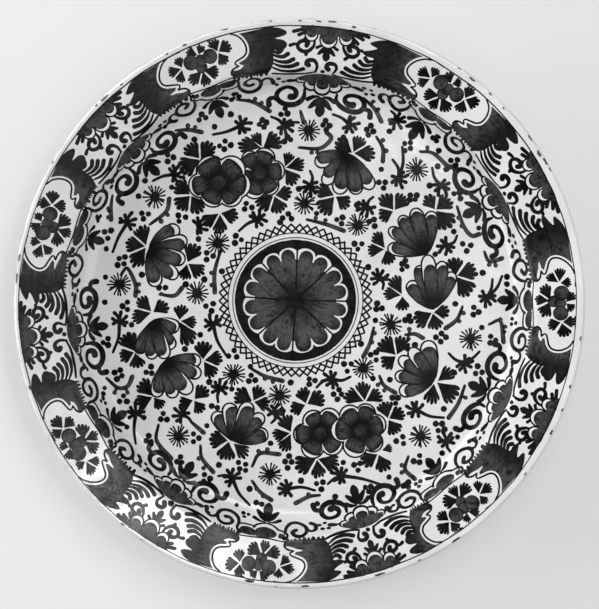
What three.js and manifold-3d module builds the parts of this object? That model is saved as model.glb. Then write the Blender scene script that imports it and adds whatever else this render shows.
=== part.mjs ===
// A wide tin-glazed earthenware dish of the Delft kind, lying on its foot ring.
// The clay body is thrown over a mould, the foot ring is luted on and turned, and the fired
// clay is coated with white glaze on the face, on the back and inside the foot ring.
// Only the foot ring's resting edge and three small pin scars under the rim stay bare.
//
// Millimetres, +Z up. The origin is the centre of the foot ring's resting face.

import * as THREE from 'three';
import { mergeVertices } from 'three/addons/utils/BufferGeometryUtils.js';
import Module from 'manifold-3d';

const wasm = await Module();
wasm.setup();

// Driving dimensions
const dishDiameter = 350;
const rimWidth = 27.5; // from the outer edge in to where the sloped rim starts
const rimSlope = 12; // degrees above the horizontal
const wallDepth = 19.5; // from the inner end of the rim down to the edge of the well
const wallSlope = 62; // degrees, where the wall is steepest
const shoulderRadius = 8.5; // the round edge between rim and wall, on the clay's face
const toeRadius = 11.5; // the hollow between wall and well, on the clay's face
const wellSag = 1.2; // how far the middle of the well lies below its edge
const clayThickness = 6.4;
const lipRounding = 1.3; // the sponged upper edge of the lip, on the clay
const glazeThickness = 0.5;
const coatClearance = 0.02; // a hair's breadth between the clay and the coats fired onto it

const footHeight = 10;
const footDiameter = 186; // outside, where the ring meets the base
const footWidth = 12; // where the ring meets the base
const footOuterTaper = 3; // how far each flank leans in over the foot's height
const footInnerTaper = 2.5;
const footEdgeBevel = 1; // the turned bevel on both sides of the resting edge
const bareHeight = 1.8; // the glaze is wiped off the foot below this height

const pinScarCount = 3;
const pinScarSide = 5; // across each triangular scar
const pinScarInset = 17; // from the dish's outer edge in to a scar's centre

// Facets
const turnSteps = 64;
const toeSteps = 4;
const shoulderSteps = 3;
const lipSteps = 4; // for each of the lip's two rounded edges

const radians = THREE.MathUtils.degToRad;

// A station is a point of the clay's surface and the direction that faces away from the clay.
// A coat of glaze, or the other side of the wall, lies some distance along that direction.
function station(r, z, direction) {
  return { r, z, direction };
}

function offset({ r, z, direction }, distance) {
  return new THREE.Vector2(
    r + distance * Math.cos(direction),
    z + distance * Math.sin(direction),
  );
}

// Points of an arc about (r, z), as stations at that radius. The direction runs from first to
// last, and the arc is hollow where the clay lies outside it.
function arcStations(r, z, radius, first, last, steps, hollow = false) {
  const sense = hollow ? -1 : 1;
  return Array.from({ length: steps + 1 }, (_, i) => {
    const direction = first + ((last - first) * i) / steps;
    return station(
      r + sense * radius * Math.cos(direction),
      z + sense * radius * Math.sin(direction),
      direction,
    );
  });
}

// Directions that face away from the clay: straight up in the well, and tilted inwards over
// the rim and over the wall.
const upright = Math.PI / 2;
const rimDirection = upright + radians(rimSlope);
const wallDirection = upright + radians(wallSlope);

// Radii and heights of the clay's face, from the rim inwards.
const rimInnerRadius = dishDiameter / 2 - rimWidth;
const shoulderCentreRadius = rimInnerRadius + shoulderRadius * Math.sin(radians(rimSlope));
const wallTopRadius = shoulderCentreRadius - shoulderRadius * Math.sin(radians(wallSlope));
const shoulderDrop =
  shoulderRadius * (Math.cos(radians(rimSlope)) - Math.cos(radians(wallSlope)));
const toeDrop = toeRadius * (1 - Math.cos(radians(wallSlope)));
const straightDrop = wallDepth - shoulderDrop - toeDrop;
const wallBottomRadius = wallTopRadius - straightDrop / Math.tan(radians(wallSlope));
const wellRadius = wallBottomRadius - toeRadius * Math.sin(radians(wallSlope));

const wellEdgeHeight = footHeight + clayThickness;
const rimInnerHeight = wellEdgeHeight + wallDepth;

// The lip's upper edge is only sponged round, its lower edge is rounded over half the wall's
// thickness, and a short upright band joins them. Its glaze ends at the dish's outer edge.
const lipOuterRadius = dishDiameter / 2 - glazeThickness;
const underLipRadius = clayThickness / 2;

// The height of the centre of a round edge that touches the rim's face and the lip's outside.
function lipCentreHeight(radius) {
  return (
    rimInnerHeight
    + (lipOuterRadius - radius - rimInnerRadius) * Math.tan(radians(rimSlope))
    - radius / Math.cos(radians(rimSlope))
  );
}

// The face of the clay, from the middle of the well to the outer end of the rim.
const wellStations = [0, 0.5].map((share) =>
  station(wellRadius * share, wellEdgeHeight - wellSag * (1 - share * share), upright),
);
const toeStations = arcStations(
  wellRadius,
  wellEdgeHeight + toeRadius,
  toeRadius,
  upright,
  wallDirection,
  toeSteps,
  true,
);
const shoulderStations = arcStations(
  shoulderCentreRadius,
  rimInnerHeight - shoulderRadius * Math.cos(radians(rimSlope)),
  shoulderRadius,
  wallDirection,
  rimDirection,
  shoulderSteps,
);
const wallStations = [...toeStations, ...shoulderStations];

// The lip is split where its upper edge meets the upright band, which belongs to the back.
const upperLip = arcStations(
  lipOuterRadius - lipRounding,
  lipCentreHeight(lipRounding),
  lipRounding,
  rimDirection,
  0,
  lipSteps,
);
const lowerLip = [
  upperLip.at(-1),
  ...arcStations(
    lipOuterRadius - underLipRadius,
    lipCentreHeight(underLipRadius),
    underLipRadius,
    0,
    rimDirection - Math.PI,
    lipSteps,
  ),
];

// A surface of the face at some distance above the clay, as far as the outer edge.
function faceLine(distance) {
  return [...wellStations, ...wallStations, ...upperLip].map((s) => offset(s, distance));
}

// A surface of the back at some distance below the clay, from the outer edge in to the base.
// The base is turned flat, so it ends at the well's edge and runs level from there.
function backLine(distance) {
  const underWall = wallStations.map((s) => offset(s, -clayThickness - distance));
  return [...lowerLip.map((s) => offset(s, distance)), ...underWall.reverse()];
}

// The foot ring's flanks, from the base down to the bevel at the resting edge.
const footOuter = {
  top: footDiameter / 2,
  bottom: footDiameter / 2 - footOuterTaper,
};
const footInner = {
  top: footDiameter / 2 - footWidth,
  bottom: footDiameter / 2 - footWidth + footInnerTaper,
};

function flankRadius({ top, bottom }, height) {
  return bottom + ((top - bottom) * height) / footHeight;
}

function flankPoint(flank, height, outwards = 0) {
  return new THREE.Vector2(flankRadius(flank, height) + outwards, height);
}

function turned(profile) {
  const geometry = new THREE.LatheGeometry(profile, turnSteps);
  geometry.deleteAttribute('normal');
  geometry.deleteAttribute('uv');
  geometry.rotateX(Math.PI / 2);
  return geometry;
}

function closedProfile(points) {
  return [...points, points[0].clone()];
}

function solidOf(geometry) {
  const merged = mergeVertices(geometry);
  return new wasm.Manifold(new wasm.Mesh({
    numProp: 3,
    vertProperties: merged.attributes.position.array,
    triVerts: new Uint32Array(merged.index.array),
  }));
}

function geometryOf(solid) {
  const mesh = solid.getMesh();
  const geometry = new THREE.BufferGeometry();
  geometry.setAttribute('position', new THREE.BufferAttribute(mesh.vertProperties, 3));
  geometry.setIndex(new THREE.BufferAttribute(mesh.triVerts, 1));
  return geometry;
}

// The thrown body: well, wall, sloped rim and rounded lip in one even thickness of clay.
function clayBody() {
  return turned([
    new THREE.Vector2(0, footHeight),
    ...backLine(0).reverse(),
    ...faceLine(0).reverse(),
  ]);
}

// The ring of clay luted to the base and turned to a tapered foot with a bevelled edge.
function footRing() {
  return turned(closedProfile([
    flankPoint(footInner, footHeight),
    flankPoint(footInner, footEdgeBevel),
    new THREE.Vector2(footInner.bottom + footEdgeBevel, 0),
    new THREE.Vector2(footOuter.bottom - footEdgeBevel, 0),
    flankPoint(footOuter, footEdgeBevel),
    flankPoint(footOuter, footHeight),
  ]));
}

// The white glaze of the face, from the middle of the well to the dish's outer edge.
function faceGlaze() {
  return turned([...faceLine(coatClearance), ...faceLine(glazeThickness).reverse()]);
}

// The glaze of the back, from the outer edge to the foot ring and down its outer flank.
function backGlaze() {
  return turned(closedProfile([
    ...backLine(coatClearance),
    flankPoint(footOuter, footHeight - coatClearance, coatClearance),
    flankPoint(footOuter, bareHeight, coatClearance),
    flankPoint(footOuter, bareHeight, glazeThickness),
    flankPoint(footOuter, footHeight - glazeThickness, glazeThickness),
    ...backLine(glazeThickness).reverse(),
  ]));
}

// The glaze of the base inside the foot ring, and down the ring's inner flank.
function baseGlaze() {
  return turned([
    new THREE.Vector2(0, footHeight - glazeThickness),
    flankPoint(footInner, footHeight - glazeThickness, -glazeThickness),
    flankPoint(footInner, bareHeight, -glazeThickness),
    flankPoint(footInner, bareHeight, -coatClearance),
    flankPoint(footInner, footHeight - coatClearance, -coatClearance),
    new THREE.Vector2(0, footHeight - coatClearance),
  ]);
}

// In the kiln the dish hung on three clay pins under its rim. Each left a bare triangle.
function withPinScars(glaze) {
  const scarRadius = dishDiameter / 2 - pinScarInset;
  const cutHeight = 2 * (clayThickness + glazeThickness);
  const rimMiddleHeight =
    rimInnerHeight + (scarRadius - rimInnerRadius) * Math.tan(radians(rimSlope));
  const underside = rimMiddleHeight - clayThickness / Math.cos(radians(rimSlope));
  let solid = solidOf(glaze);
  for (let i = 0; i < pinScarCount; i += 1) {
    const turn = (i * 2 * Math.PI) / pinScarCount;
    const pin = new THREE.CylinderGeometry(
      pinScarSide / Math.sqrt(3), pinScarSide / Math.sqrt(3), cutHeight, 3,
    );
    pin.deleteAttribute('normal');
    pin.deleteAttribute('uv');
    pin.rotateX(Math.PI / 2);
    pin.rotateZ(turn);
    pin.translate(scarRadius * Math.cos(turn), scarRadius * Math.sin(turn), underside);
    solid = solid.subtract(solidOf(pin));
  }
  return geometryOf(solid);
}

const fired = {
  clay: new THREE.MeshStandardMaterial({ color: 0x8f857a, roughness: 0.85, metalness: 0 }),
  face: new THREE.MeshStandardMaterial({ color: 0xdcdcda, roughness: 0.16, metalness: 0 }),
  back: new THREE.MeshStandardMaterial({ color: 0xd6d5d2, roughness: 0.22, metalness: 0 }),
};

function piece(name, geometry, material) {
  const mesh = new THREE.Mesh(geometry, material);
  mesh.name = name;
  return mesh;
}

const dish = new THREE.Group();
dish.add(
  piece('clay_body', clayBody(), fired.clay),
  piece('foot_ring', footRing(), fired.clay),
  piece('face_glaze', faceGlaze(), fired.face),
  piece('back_glaze', withPinScars(backGlaze()), fired.back),
  piece('base_glaze', baseGlaze(), fired.back),
);

export default dish;
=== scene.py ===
"""A tin-glazed earthenware dish, painted all over with flowers, dressed for rendering.

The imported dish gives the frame. Its clay, foot ring and back glaze are turned again here with
finer steps. Its face glaze is laid as an inlay: each touch of the painter's brush is cut into the
white glaze as a coat of its own, so the painting has the crisp edge of pigment that has sunk into
the glaze, and a chip along the lip goes down to the clay.
"""

import logging
import math
import random
from dataclasses import dataclass, field
from enum import Enum
from typing import Callable, Iterable, Optional, Sequence

import bpy
from mathutils import Matrix, Vector
from mathutils.geometry import delaunay_2d_cdt


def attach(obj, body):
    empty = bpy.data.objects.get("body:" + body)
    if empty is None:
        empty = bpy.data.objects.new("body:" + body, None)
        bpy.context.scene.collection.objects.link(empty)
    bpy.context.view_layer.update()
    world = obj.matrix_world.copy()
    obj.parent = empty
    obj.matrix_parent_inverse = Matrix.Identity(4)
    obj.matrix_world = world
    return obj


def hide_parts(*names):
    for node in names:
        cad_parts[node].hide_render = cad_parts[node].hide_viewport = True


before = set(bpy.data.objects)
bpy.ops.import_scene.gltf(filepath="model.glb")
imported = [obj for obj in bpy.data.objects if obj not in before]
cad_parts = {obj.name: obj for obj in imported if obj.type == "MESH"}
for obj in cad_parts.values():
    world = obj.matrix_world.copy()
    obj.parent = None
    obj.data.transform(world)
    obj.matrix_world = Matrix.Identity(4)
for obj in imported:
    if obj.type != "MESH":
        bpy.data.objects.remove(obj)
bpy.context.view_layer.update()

log = logging.getLogger("dish")

MM = 0.001
SEED = 1700
UPRIGHT = math.pi / 2
FULL_TURN = 2 * math.pi

# The width of the fine line that goes round every petal and panel, in millimetres.
OUTLINE = 1.05

Point = tuple[float, float]
Placing = Callable[[Point], Point]
Pen = Callable[..., None]
Lobe = tuple[float, float, float, float, float, float]
Petal = tuple[float, float, float, float, float]
Colour = tuple[float, float, float, float]


AXIS: Point = (0.0, 0.0)


def turned(angle: float, radius: float, centre: Point = AXIS) -> Point:
    """Return the point at an angle in degrees and a radius about a centre."""
    turn = math.radians(angle)
    return centre[0] + radius * math.cos(turn), centre[1] + radius * math.sin(turn)


def between(first: Point, last: Point, share: float) -> Point:
    """Return the point that lies a share of the way from the first point to the last."""
    return (first[0] + (last[0] - first[0]) * share, first[1] + (last[1] - first[1]) * share)


def distance(first: Point, last: Point) -> float:
    """Return the distance between two points."""
    return math.hypot(last[0] - first[0], last[1] - first[1])


def bearing(first: Point, last: Point) -> float:
    """Return the direction from the first point to the last, in degrees."""
    return math.degrees(math.atan2(last[1] - first[1], last[0] - first[0]))


def smooth_line(points: Sequence[Point], closed: bool = False, step: float = 0.9) -> list[Point]:
    """Draw a smooth line through points, as a loaded brush would.

    Args:
        points: The points that the line passes through.
        closed: Whether the line comes back to its first point.
        step: The longest distance between two points of the result, in millimetres.

    Returns:
        The points of the smooth line.
    """
    count = len(points)
    if count < 3 and not closed:
        runs = max(1, math.ceil(distance(points[0], points[-1]) / (3 * step)))
        return [between(points[0], points[-1], i / runs) for i in range(runs + 1)]
    spans = count if closed else count - 1
    line: list[Point] = []
    for i in range(spans):
        if closed:
            a, b, c, d = (points[(i + k) % count] for k in (-1, 0, 1, 2))
        else:
            b, c = points[i], points[i + 1]
            a = points[i - 1] if i else (2 * b[0] - c[0], 2 * b[1] - c[1])
            d = points[i + 2] if i + 2 < count else (2 * c[0] - b[0], 2 * c[1] - b[1])
        pieces = max(1, math.ceil(distance(b, c) / step))
        for k in range(pieces):
            t = k / pieces
            line.append(
                tuple(
                    0.5 * (
                        2 * b[j] + (c[j] - a[j]) * t + (2 * a[j] - 5 * b[j] + 4 * c[j] - d[j]) * t**2
                        + (3 * b[j] - a[j] - 3 * c[j] + d[j]) * t**3
                    )
                    for j in (0, 1)
                )
            )
    if not closed:
        line.append(points[-1])
    return line


def rounded(place: Placing, notes: Sequence[Point], step: float = 0.9) -> list[Point]:
    """Return the smooth outline through notes that a motif's function puts on the face."""
    return smooth_line([place(p) for p in notes], closed=True, step=step)


def hull(points: Iterable[Point]) -> list[Point]:
    """Return the anticlockwise convex outline of a few points."""
    ordered = sorted(set(points))
    if len(ordered) < 3:
        return []

    def half(run: Iterable[Point]) -> list[Point]:
        """Return one side of the outline, without its last point."""
        chain: list[Point] = []
        for p in run:
            while len(chain) > 1 and not turns_left(chain[-2], chain[-1], p):
                chain.pop()
            chain.append(p)
        return chain[:-1]

    return half(ordered) + half(reversed(ordered))


def turns_left(a: Point, b: Point, c: Point) -> bool:
    """Tell whether the way from a over b to c bends to the left."""
    return (b[0] - a[0]) * (c[1] - a[1]) > (b[1] - a[1]) * (c[0] - a[0])


def signed_area(points: Sequence[Point]) -> float:
    """Return the area of an outline, which is negative where it runs clockwise."""
    return 0.5 * sum(a[0] * b[1] - b[0] * a[1] for a, b in zip(points, [*points[1:], points[0]]))


def placed(name: str, data: bpy.types.ID) -> bpy.types.Object:
    """Make an object of some data and put it into the scene."""
    made = bpy.data.objects.new(name, data)
    bpy.context.scene.collection.objects.link(made)
    return made


@dataclass(frozen=True)
class Station:
    """A place on the glazed face, seen in the dish's section."""

    radius: float
    height: float
    facing: float

    def under(self, depth: float) -> Point:
        """Return the radius and height of the point that lies a depth below this place."""
        return self.radius - depth * math.cos(self.facing), self.height - depth * math.sin(self.facing)


@dataclass
class DishSection:
    """The turned section of the dish, in millimetres, as a potter's template would give it."""

    diameter: float = 350.0
    rim_width: float = 27.5
    rim_slope: float = math.radians(12)
    wall_depth: float = 19.5
    wall_slope: float = math.radians(62)
    shoulder_radius: float = 8.5
    toe_radius: float = 11.5
    well_sag: float = 1.2
    clay: float = 6.4
    glaze: float = 0.5
    lip_rounding: float = 1.3
    foot_height: float = 10.0
    foot_diameter: float = 186.0
    foot_width: float = 12.0
    foot_outer_taper: float = 3.0
    foot_inner_taper: float = 2.5
    foot_bevel: float = 1.0
    bare_height: float = 1.8
    halvings: int = 26

    def __post_init__(self) -> None:
        """Work out the centres of the arcs, and where each stretch of the face ends."""
        rim_inner = self.diameter / 2 - self.rim_width
        lift = self.wall_depth + self.foot_height + self.clay
        self.rim_inner: Point = (rim_inner, lift)
        self.shoulder_centre = (
            rim_inner + self.shoulder_radius * math.sin(self.rim_slope),
            lift - self.shoulder_radius * math.cos(self.rim_slope),
        )
        wall_top = self.shoulder_centre[0] - self.shoulder_radius * math.sin(self.wall_slope)
        drop = self.wall_depth
        drop -= self.shoulder_radius * (math.cos(self.rim_slope) - math.cos(self.wall_slope))
        drop -= self.toe_radius * (1 - math.cos(self.wall_slope))
        wall_bottom = wall_top - drop / math.tan(self.wall_slope)
        self.well_radius = wall_bottom - self.toe_radius * math.sin(self.wall_slope)
        self.well_height = self.foot_height + self.clay
        self.lip_centre = self.round_edge(self.lip_rounding)
        self.under_lip_radius = self.clay / 2
        self.under_lip_centre = self.round_edge(self.under_lip_radius)
        ends = self.stretches(self.glaze)
        self.toe_start, self.toe_end, self.wall_end, self.shoulder_end, self.lip_start = ends
        self.edge = self.lip_start + (self.lip_rounding + self.glaze) * (UPRIGHT + self.rim_slope)

    def round_edge(self, radius: float) -> Point:
        """Return the centre of a round edge that touches the rim's face and the lip's outside."""
        middle = self.diameter / 2 - self.glaze - radius
        climb = (middle - self.rim_inner[0]) * math.tan(self.rim_slope)
        return middle, self.rim_inner[1] + climb - radius / math.cos(self.rim_slope)

    def stretches(self, coat: float) -> tuple[float, float, float, float, float]:
        """Measure the face from its middle outwards.

        Args:
            coat: The height of the measured surface above the clay.

        Returns:
            The distance along the surface to the ends of well, toe, wall, shoulder and rim.
        """
        toe = self.toe_radius - coat
        shoulder = self.shoulder_radius + coat
        toe_end = self.well_radius + toe * self.wall_slope
        wall_top = self.shoulder_centre[0] - shoulder * math.sin(self.wall_slope)
        wall_foot = self.well_radius + toe * math.sin(self.wall_slope)
        wall_end = toe_end + (wall_top - wall_foot) / math.cos(self.wall_slope)
        shoulder_end = wall_end + shoulder * (self.wall_slope - self.rim_slope)
        rim_start = self.shoulder_centre[0] - shoulder * math.sin(self.rim_slope)
        rim_end = self.lip_centre[0] - (self.lip_rounding + coat) * math.sin(self.rim_slope)
        lip_start = shoulder_end + (rim_end - rim_start) / math.cos(self.rim_slope)
        return self.well_radius, toe_end, wall_end, shoulder_end, lip_start

    def at(self, run: float) -> Station:
        """Return the place on the glazed face at a distance along it from the middle."""
        toe = self.toe_radius - self.glaze
        shoulder = self.shoulder_radius + self.glaze
        lip = self.lip_rounding + self.glaze
        if run <= self.toe_start:
            share = run / self.well_radius
            dip = self.well_sag * (1 - share**2) ** 2
            slope = 4 * self.well_sag * share * (1 - share**2) / self.well_radius
            return Station(run, self.well_height + self.glaze - dip, UPRIGHT + slope)
        if run <= self.toe_end:
            turn = (run - self.toe_start) / toe
            return Station(
                self.well_radius + toe * math.sin(turn),
                self.well_height + self.toe_radius - toe * math.cos(turn), UPRIGHT + turn,
            )
        if run <= self.wall_end:
            climb = run - self.toe_end
            out, up = math.cos(self.wall_slope), math.sin(self.wall_slope)
            return Station(
                self.well_radius + toe * up + climb * out,
                self.well_height + self.toe_radius - toe * out + climb * up, UPRIGHT + self.wall_slope,
            )
        if run <= self.shoulder_end:
            facing = UPRIGHT + self.wall_slope - (run - self.wall_end) / shoulder
            return Station(
                self.shoulder_centre[0] + shoulder * math.cos(facing),
                self.shoulder_centre[1] + shoulder * math.sin(facing), facing,
            )
        facing = UPRIGHT + self.rim_slope
        if run <= self.lip_start:
            climb = run - self.shoulder_end
            return Station(
                self.shoulder_centre[0] + shoulder * math.cos(facing) + climb * math.cos(self.rim_slope),
                self.shoulder_centre[1] + shoulder * math.sin(facing) + climb * math.sin(self.rim_slope),
                facing,
            )
        facing -= (run - self.lip_start) / lip
        return Station(
            self.lip_centre[0] + lip * math.cos(facing), self.lip_centre[1] + lip * math.sin(facing),
            facing,
        )

    def run_to(self, radius: float) -> float:
        """Return the distance along the face from its middle to a radius, found by halving."""
        low, high = 0.0, self.edge
        if radius <= self.well_radius:
            return radius
        for _ in range(self.halvings):
            middle = (low + high) / 2
            if self.at(middle).radius < radius:
                low = middle
            else:
                high = middle
        return low

    def laid_out(self, spot: Point) -> Point:
        """Return where a point of the dish, seen from above, lies on the face laid out flat."""
        radius = math.hypot(*spot)
        if radius <= self.well_radius:
            return spot
        scale = self.run_to(radius) / radius
        return spot[0] * scale, spot[1] * scale

    def lifted(self, flat: Point, depth: float = 0.0) -> tuple[Vector, Vector]:
        """Put a point of the laid-out face back on the dish.

        Args:
            flat: The point on the face laid out flat, in millimetres.
            depth: How far below the glaze's surface it lies.

        Returns:
            The place in metres, and the direction that the face has there.
        """
        run = math.hypot(*flat)
        station = self.at(run)
        across = (flat[0] / run, flat[1] / run) if run > 1e-6 else (1.0, 0.0)
        radius, height = station.under(depth)
        place = Vector((across[0] * radius, across[1] * radius, height)) * MM
        lean = math.cos(station.facing)
        return place, Vector((across[0] * lean, across[1] * lean, math.sin(station.facing)))


@dataclass(frozen=True)
class Sweep:
    """The run of one touch of the brush, which its streaks of pigment follow."""

    start: Point
    end: Point
    first: float = -1.0
    last: float = 1.0
    half: float = 1.0

    def share(self, spot: Point) -> Point:
        """Return how far along the touch a point lies, and how far across its half width."""
        dx, dy = self.end[0] - self.start[0], self.end[1] - self.start[1]
        length = math.hypot(dx, dy) or 1.0
        px, py = spot[0] - self.start[0], spot[1] - self.start[1]
        along = (px * dx + py * dy) / length**2
        side = (py * dx - px * dy) / length
        return self.first + (self.last - self.first) * along, side / max(self.half, 0.1)


class Coat(Enum):
    """The coats that make up the painted face, by the name of the finish that each wears."""

    GLAZE = "white_glaze"
    DARK = "dark_pigment"
    WASH = "washed_pigment"
    DEEP = "deep_wash"
    PALE = "pale_pigment"
    BARE = "fired_clay"


@dataclass(frozen=True)
class Layer:
    """A named piece of the painting and the coat that it is painted in."""

    name: str
    coat: Coat


GROUND = Layer("ground", Coat.GLAZE)
CHIP = Layer("chip", Coat.BARE)


@dataclass
class PaintedFace:
    """The face of the dish, laid out flat for the painter and cut into coats afterwards.

    The flat face keeps each point's angle and its distance from the middle as measured along the
    glaze. A later touch lies over an earlier one.
    """

    section: DishSection
    depth: float = 0.46
    finest: float = 0.02
    weld: float = 1e-4
    ring_corners: int = 256
    map_margin: float = 1.01
    reach: float = 0.0
    outlines: list[list[Point]] = field(default_factory=list)
    layers: list[Layer] = field(default_factory=list)
    sweeps: list[Optional[Sweep]] = field(default_factory=list)
    corners: list[Point] = field(default_factory=list)

    def __post_init__(self) -> None:
        """Let the face run over the lip to the dish's outer edge."""
        self.reach = self.section.edge

    def fill(self, outline: Sequence[Point], layer: Layer, sweep: Optional[Sweep] = None) -> None:
        """Fill an outline on the flat face.

        Args:
            outline: The outline, which doesn't cross itself.
            layer: The piece of the painting that it belongs to.
            sweep: The run of the brush, where streaks show.
        """
        clean: list[Point] = []
        for p in outline:
            if not clean or distance(p, clean[-1]) > self.finest:
                clean.append(p)
        if len(clean) > 2 and distance(clean[0], clean[-1]) <= self.finest:
            clean.pop()
        if len(clean) < 3:
            return
        area = signed_area(clean)
        if abs(area) < 1e-3:
            return
        self.outlines.append(clean if area > 0 else clean[::-1])
        self.layers.append(layer)
        self.sweeps.append(sweep)

    def dab(self, spot: Point, radius: float, layer: Layer, corners: int = 10) -> None:
        """Set down a round touch of the brush.

        Args:
            spot: Its middle.
            radius: Its radius.
            layer: The piece of the painting that it belongs to.
            corners: How many corners its outline has.
        """
        turn = random.uniform(0, 360)
        self.fill(
            [
                turned(turn + 360 * i / corners, radius * random.uniform(0.94, 1.06), spot)
                for i in range(corners)
            ],
            layer, Sweep(spot, (spot[0] + radius, spot[1]), 0.0, 1.0, radius),
        )

    def stroke(
        self, line: Sequence[Point], widths: Sequence[float], layer: Layer, smooth: bool = True,
        capped: tuple[bool, bool] = (True, True), step: float = 0.9,
    ) -> None:
        """Draw a stroke of changing width.

        Args:
            line: The points that the middle of the stroke passes through.
            widths: The stroke's widths, spread evenly over its length.
            layer: The piece of the painting that it belongs to.
            smooth: Whether the line is rounded between its points.
            capped: Whether the stroke starts and ends round.
            step: The longest straight bit of the stroke.
        """
        path = smooth_line(line, step=step) if smooth else list(line)
        path = [p for i, p in enumerate(path) if i == 0 or distance(p, path[i - 1]) > 0.05]
        if len(path) < 2:
            return
        travelled = [0.0]
        for a, b in zip(path, path[1:]):
            travelled.append(travelled[-1] + distance(a, b))
        total = travelled[-1]
        sides: list[tuple[Point, Point]] = []
        halves: list[float] = []
        for i, p in enumerate(path):
            a, b = path[max(i - 1, 0)], path[min(i + 1, len(path) - 1)]
            length = distance(a, b) or 1.0
            nx, ny = -(b[1] - a[1]) / length, (b[0] - a[0]) / length
            where = travelled[i] / total * (len(widths) - 1)
            k = min(int(where), len(widths) - 2) if len(widths) > 1 else 0
            half = widths[0] / 2
            if len(widths) > 1:
                half = (widths[k] + (widths[k + 1] - widths[k]) * (where - k)) / 2
            halves.append(half)
            sides.append(((p[0] + nx * half, p[1] + ny * half), (p[0] - nx * half, p[1] - ny * half)))
        for i in range(len(path) - 1):
            corners = [*sides[i], *sides[i + 1]]
            shares = [2 * travelled[k] / total - 1 for k in (i, i + 1)]
            self.fill(hull(corners), layer, Sweep(path[i], path[i + 1], *shares, halves[i]))
        for wanted, end, half in zip(capped, (0, -1), (halves[0], halves[-1])):
            if wanted and half > 0.15:
                self.dab(path[end], half, layer, 8)

    def rings(self) -> list[tuple[float, int]]:
        """Return the radii of the rings that follow the section's curves, and their corners."""
        s = self.section
        corners = self.ring_corners
        rings = [(10.0 * i, 48 if i < 4 else 96) for i in range(1, 11)]
        rings += [(110.0, 160), (120.0, corners)]
        stretches = (
            (s.toe_start, s.toe_end, 13), (s.toe_end, s.wall_end, 3), (s.wall_end, s.shoulder_end, 10),
            (s.shoulder_end, s.lip_start, 5), (s.lip_start, self.reach, 12),
        )
        for first, last, steps in stretches:
            rings += [(first + (last - first) * i / steps, corners) for i in range(steps)]
        rings.append((self.reach, corners))
        return rings

    def zone(self, spot: Point) -> Layer:
        """Return the piece of the white ground that a point of the flat face belongs to."""
        run = math.hypot(*spot)
        s = self.section
        ends = {"well_glaze": s.toe_start, "wall_glaze": s.shoulder_end, "rim_glaze": s.lip_start}
        name = next((name for name, end in ends.items() if run < end), "lip_glaze")
        return Layer(name, Coat.GLAZE)

    def cut(self) -> dict[Layer, list[tuple[tuple[int, int, int], Optional[Sweep]]]]:
        """Cut the flat face along every outline.

        Returns:
            The cuttings of each layer, each a triangle of corners with its sweep.
        """
        spots: list[Vector] = [Vector(AXIS)]
        edges: list[tuple[int, int]] = []
        for radius, count in self.rings():
            first = len(spots)
            for i in range(count):
                spots.append(Vector(turned(360 * i / count, radius)))
                edges.append((first + i, first + (i + 1) % count))
        faces: list[list[int]] = []
        for outline in self.outlines:
            first = len(spots)
            spots.extend(Vector(p) for p in outline)
            faces.append(list(range(first, len(spots))))
        corners, _, cuttings, _, _, owners = delaunay_2d_cdt(spots, edges, faces, 0, self.weld)
        self.corners = [(p.x, p.y) for p in corners]
        sorted_cuttings: dict[Layer, list] = {}
        for cutting, owned in zip(cuttings, owners):
            top = max(owned) if owned else None
            middle = tuple(sum(self.corners[i][k] for i in cutting) / 3 for k in (0, 1))
            layer = self.layers[top] if top is not None else GROUND
            if layer.coat is Coat.GLAZE:
                layer = self.zone(middle)
            sweep = self.sweeps[top] if top is not None else None
            sorted_cuttings.setdefault(layer, []).append((tuple(cutting), sweep))
        return sorted_cuttings

    def lay(self, layer: Layer, cuttings: list) -> bpy.types.Object:
        """Make one coat of the face from its cuttings, as a closed shell of the glaze's depth.

        Args:
            layer: The piece of the painting.
            cuttings: The triangles of the flat face that it covers, each with its sweep.

        Returns:
            The finished piece.
        """
        numbers: dict[int, int] = {}
        edges: dict[tuple[int, int], None] = {}
        for triangle, _ in cuttings:
            for i in range(3):
                a, b = triangle[i], triangle[(i + 1) % 3]
                numbers.setdefault(a, len(numbers))
                edges.setdefault((a, b))
        count = len(numbers)
        tops: list[Vector] = []
        bottoms: list[Vector] = []
        facings: list[Vector] = []
        for corner in numbers:
            place, facing = self.section.lifted(self.corners[corner])
            tops.append(place)
            facings.append(facing)
            bottoms.append(self.section.lifted(self.corners[corner], self.depth)[0])
        faces: list[tuple[int, ...]] = []
        maps: list[Point] = []
        sweeps: list[Point] = []
        normals: list[Vector] = []
        span = 2 * self.reach * self.map_margin

        def write(spot: Point, normal: Vector, stroke: Point = AXIS) -> None:
            """Write down one corner: its place on both maps and its normal."""
            maps.append((0.5 + spot[0] / span, 0.5 + spot[1] / span))
            sweeps.append(stroke)
            normals.append(normal)

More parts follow.
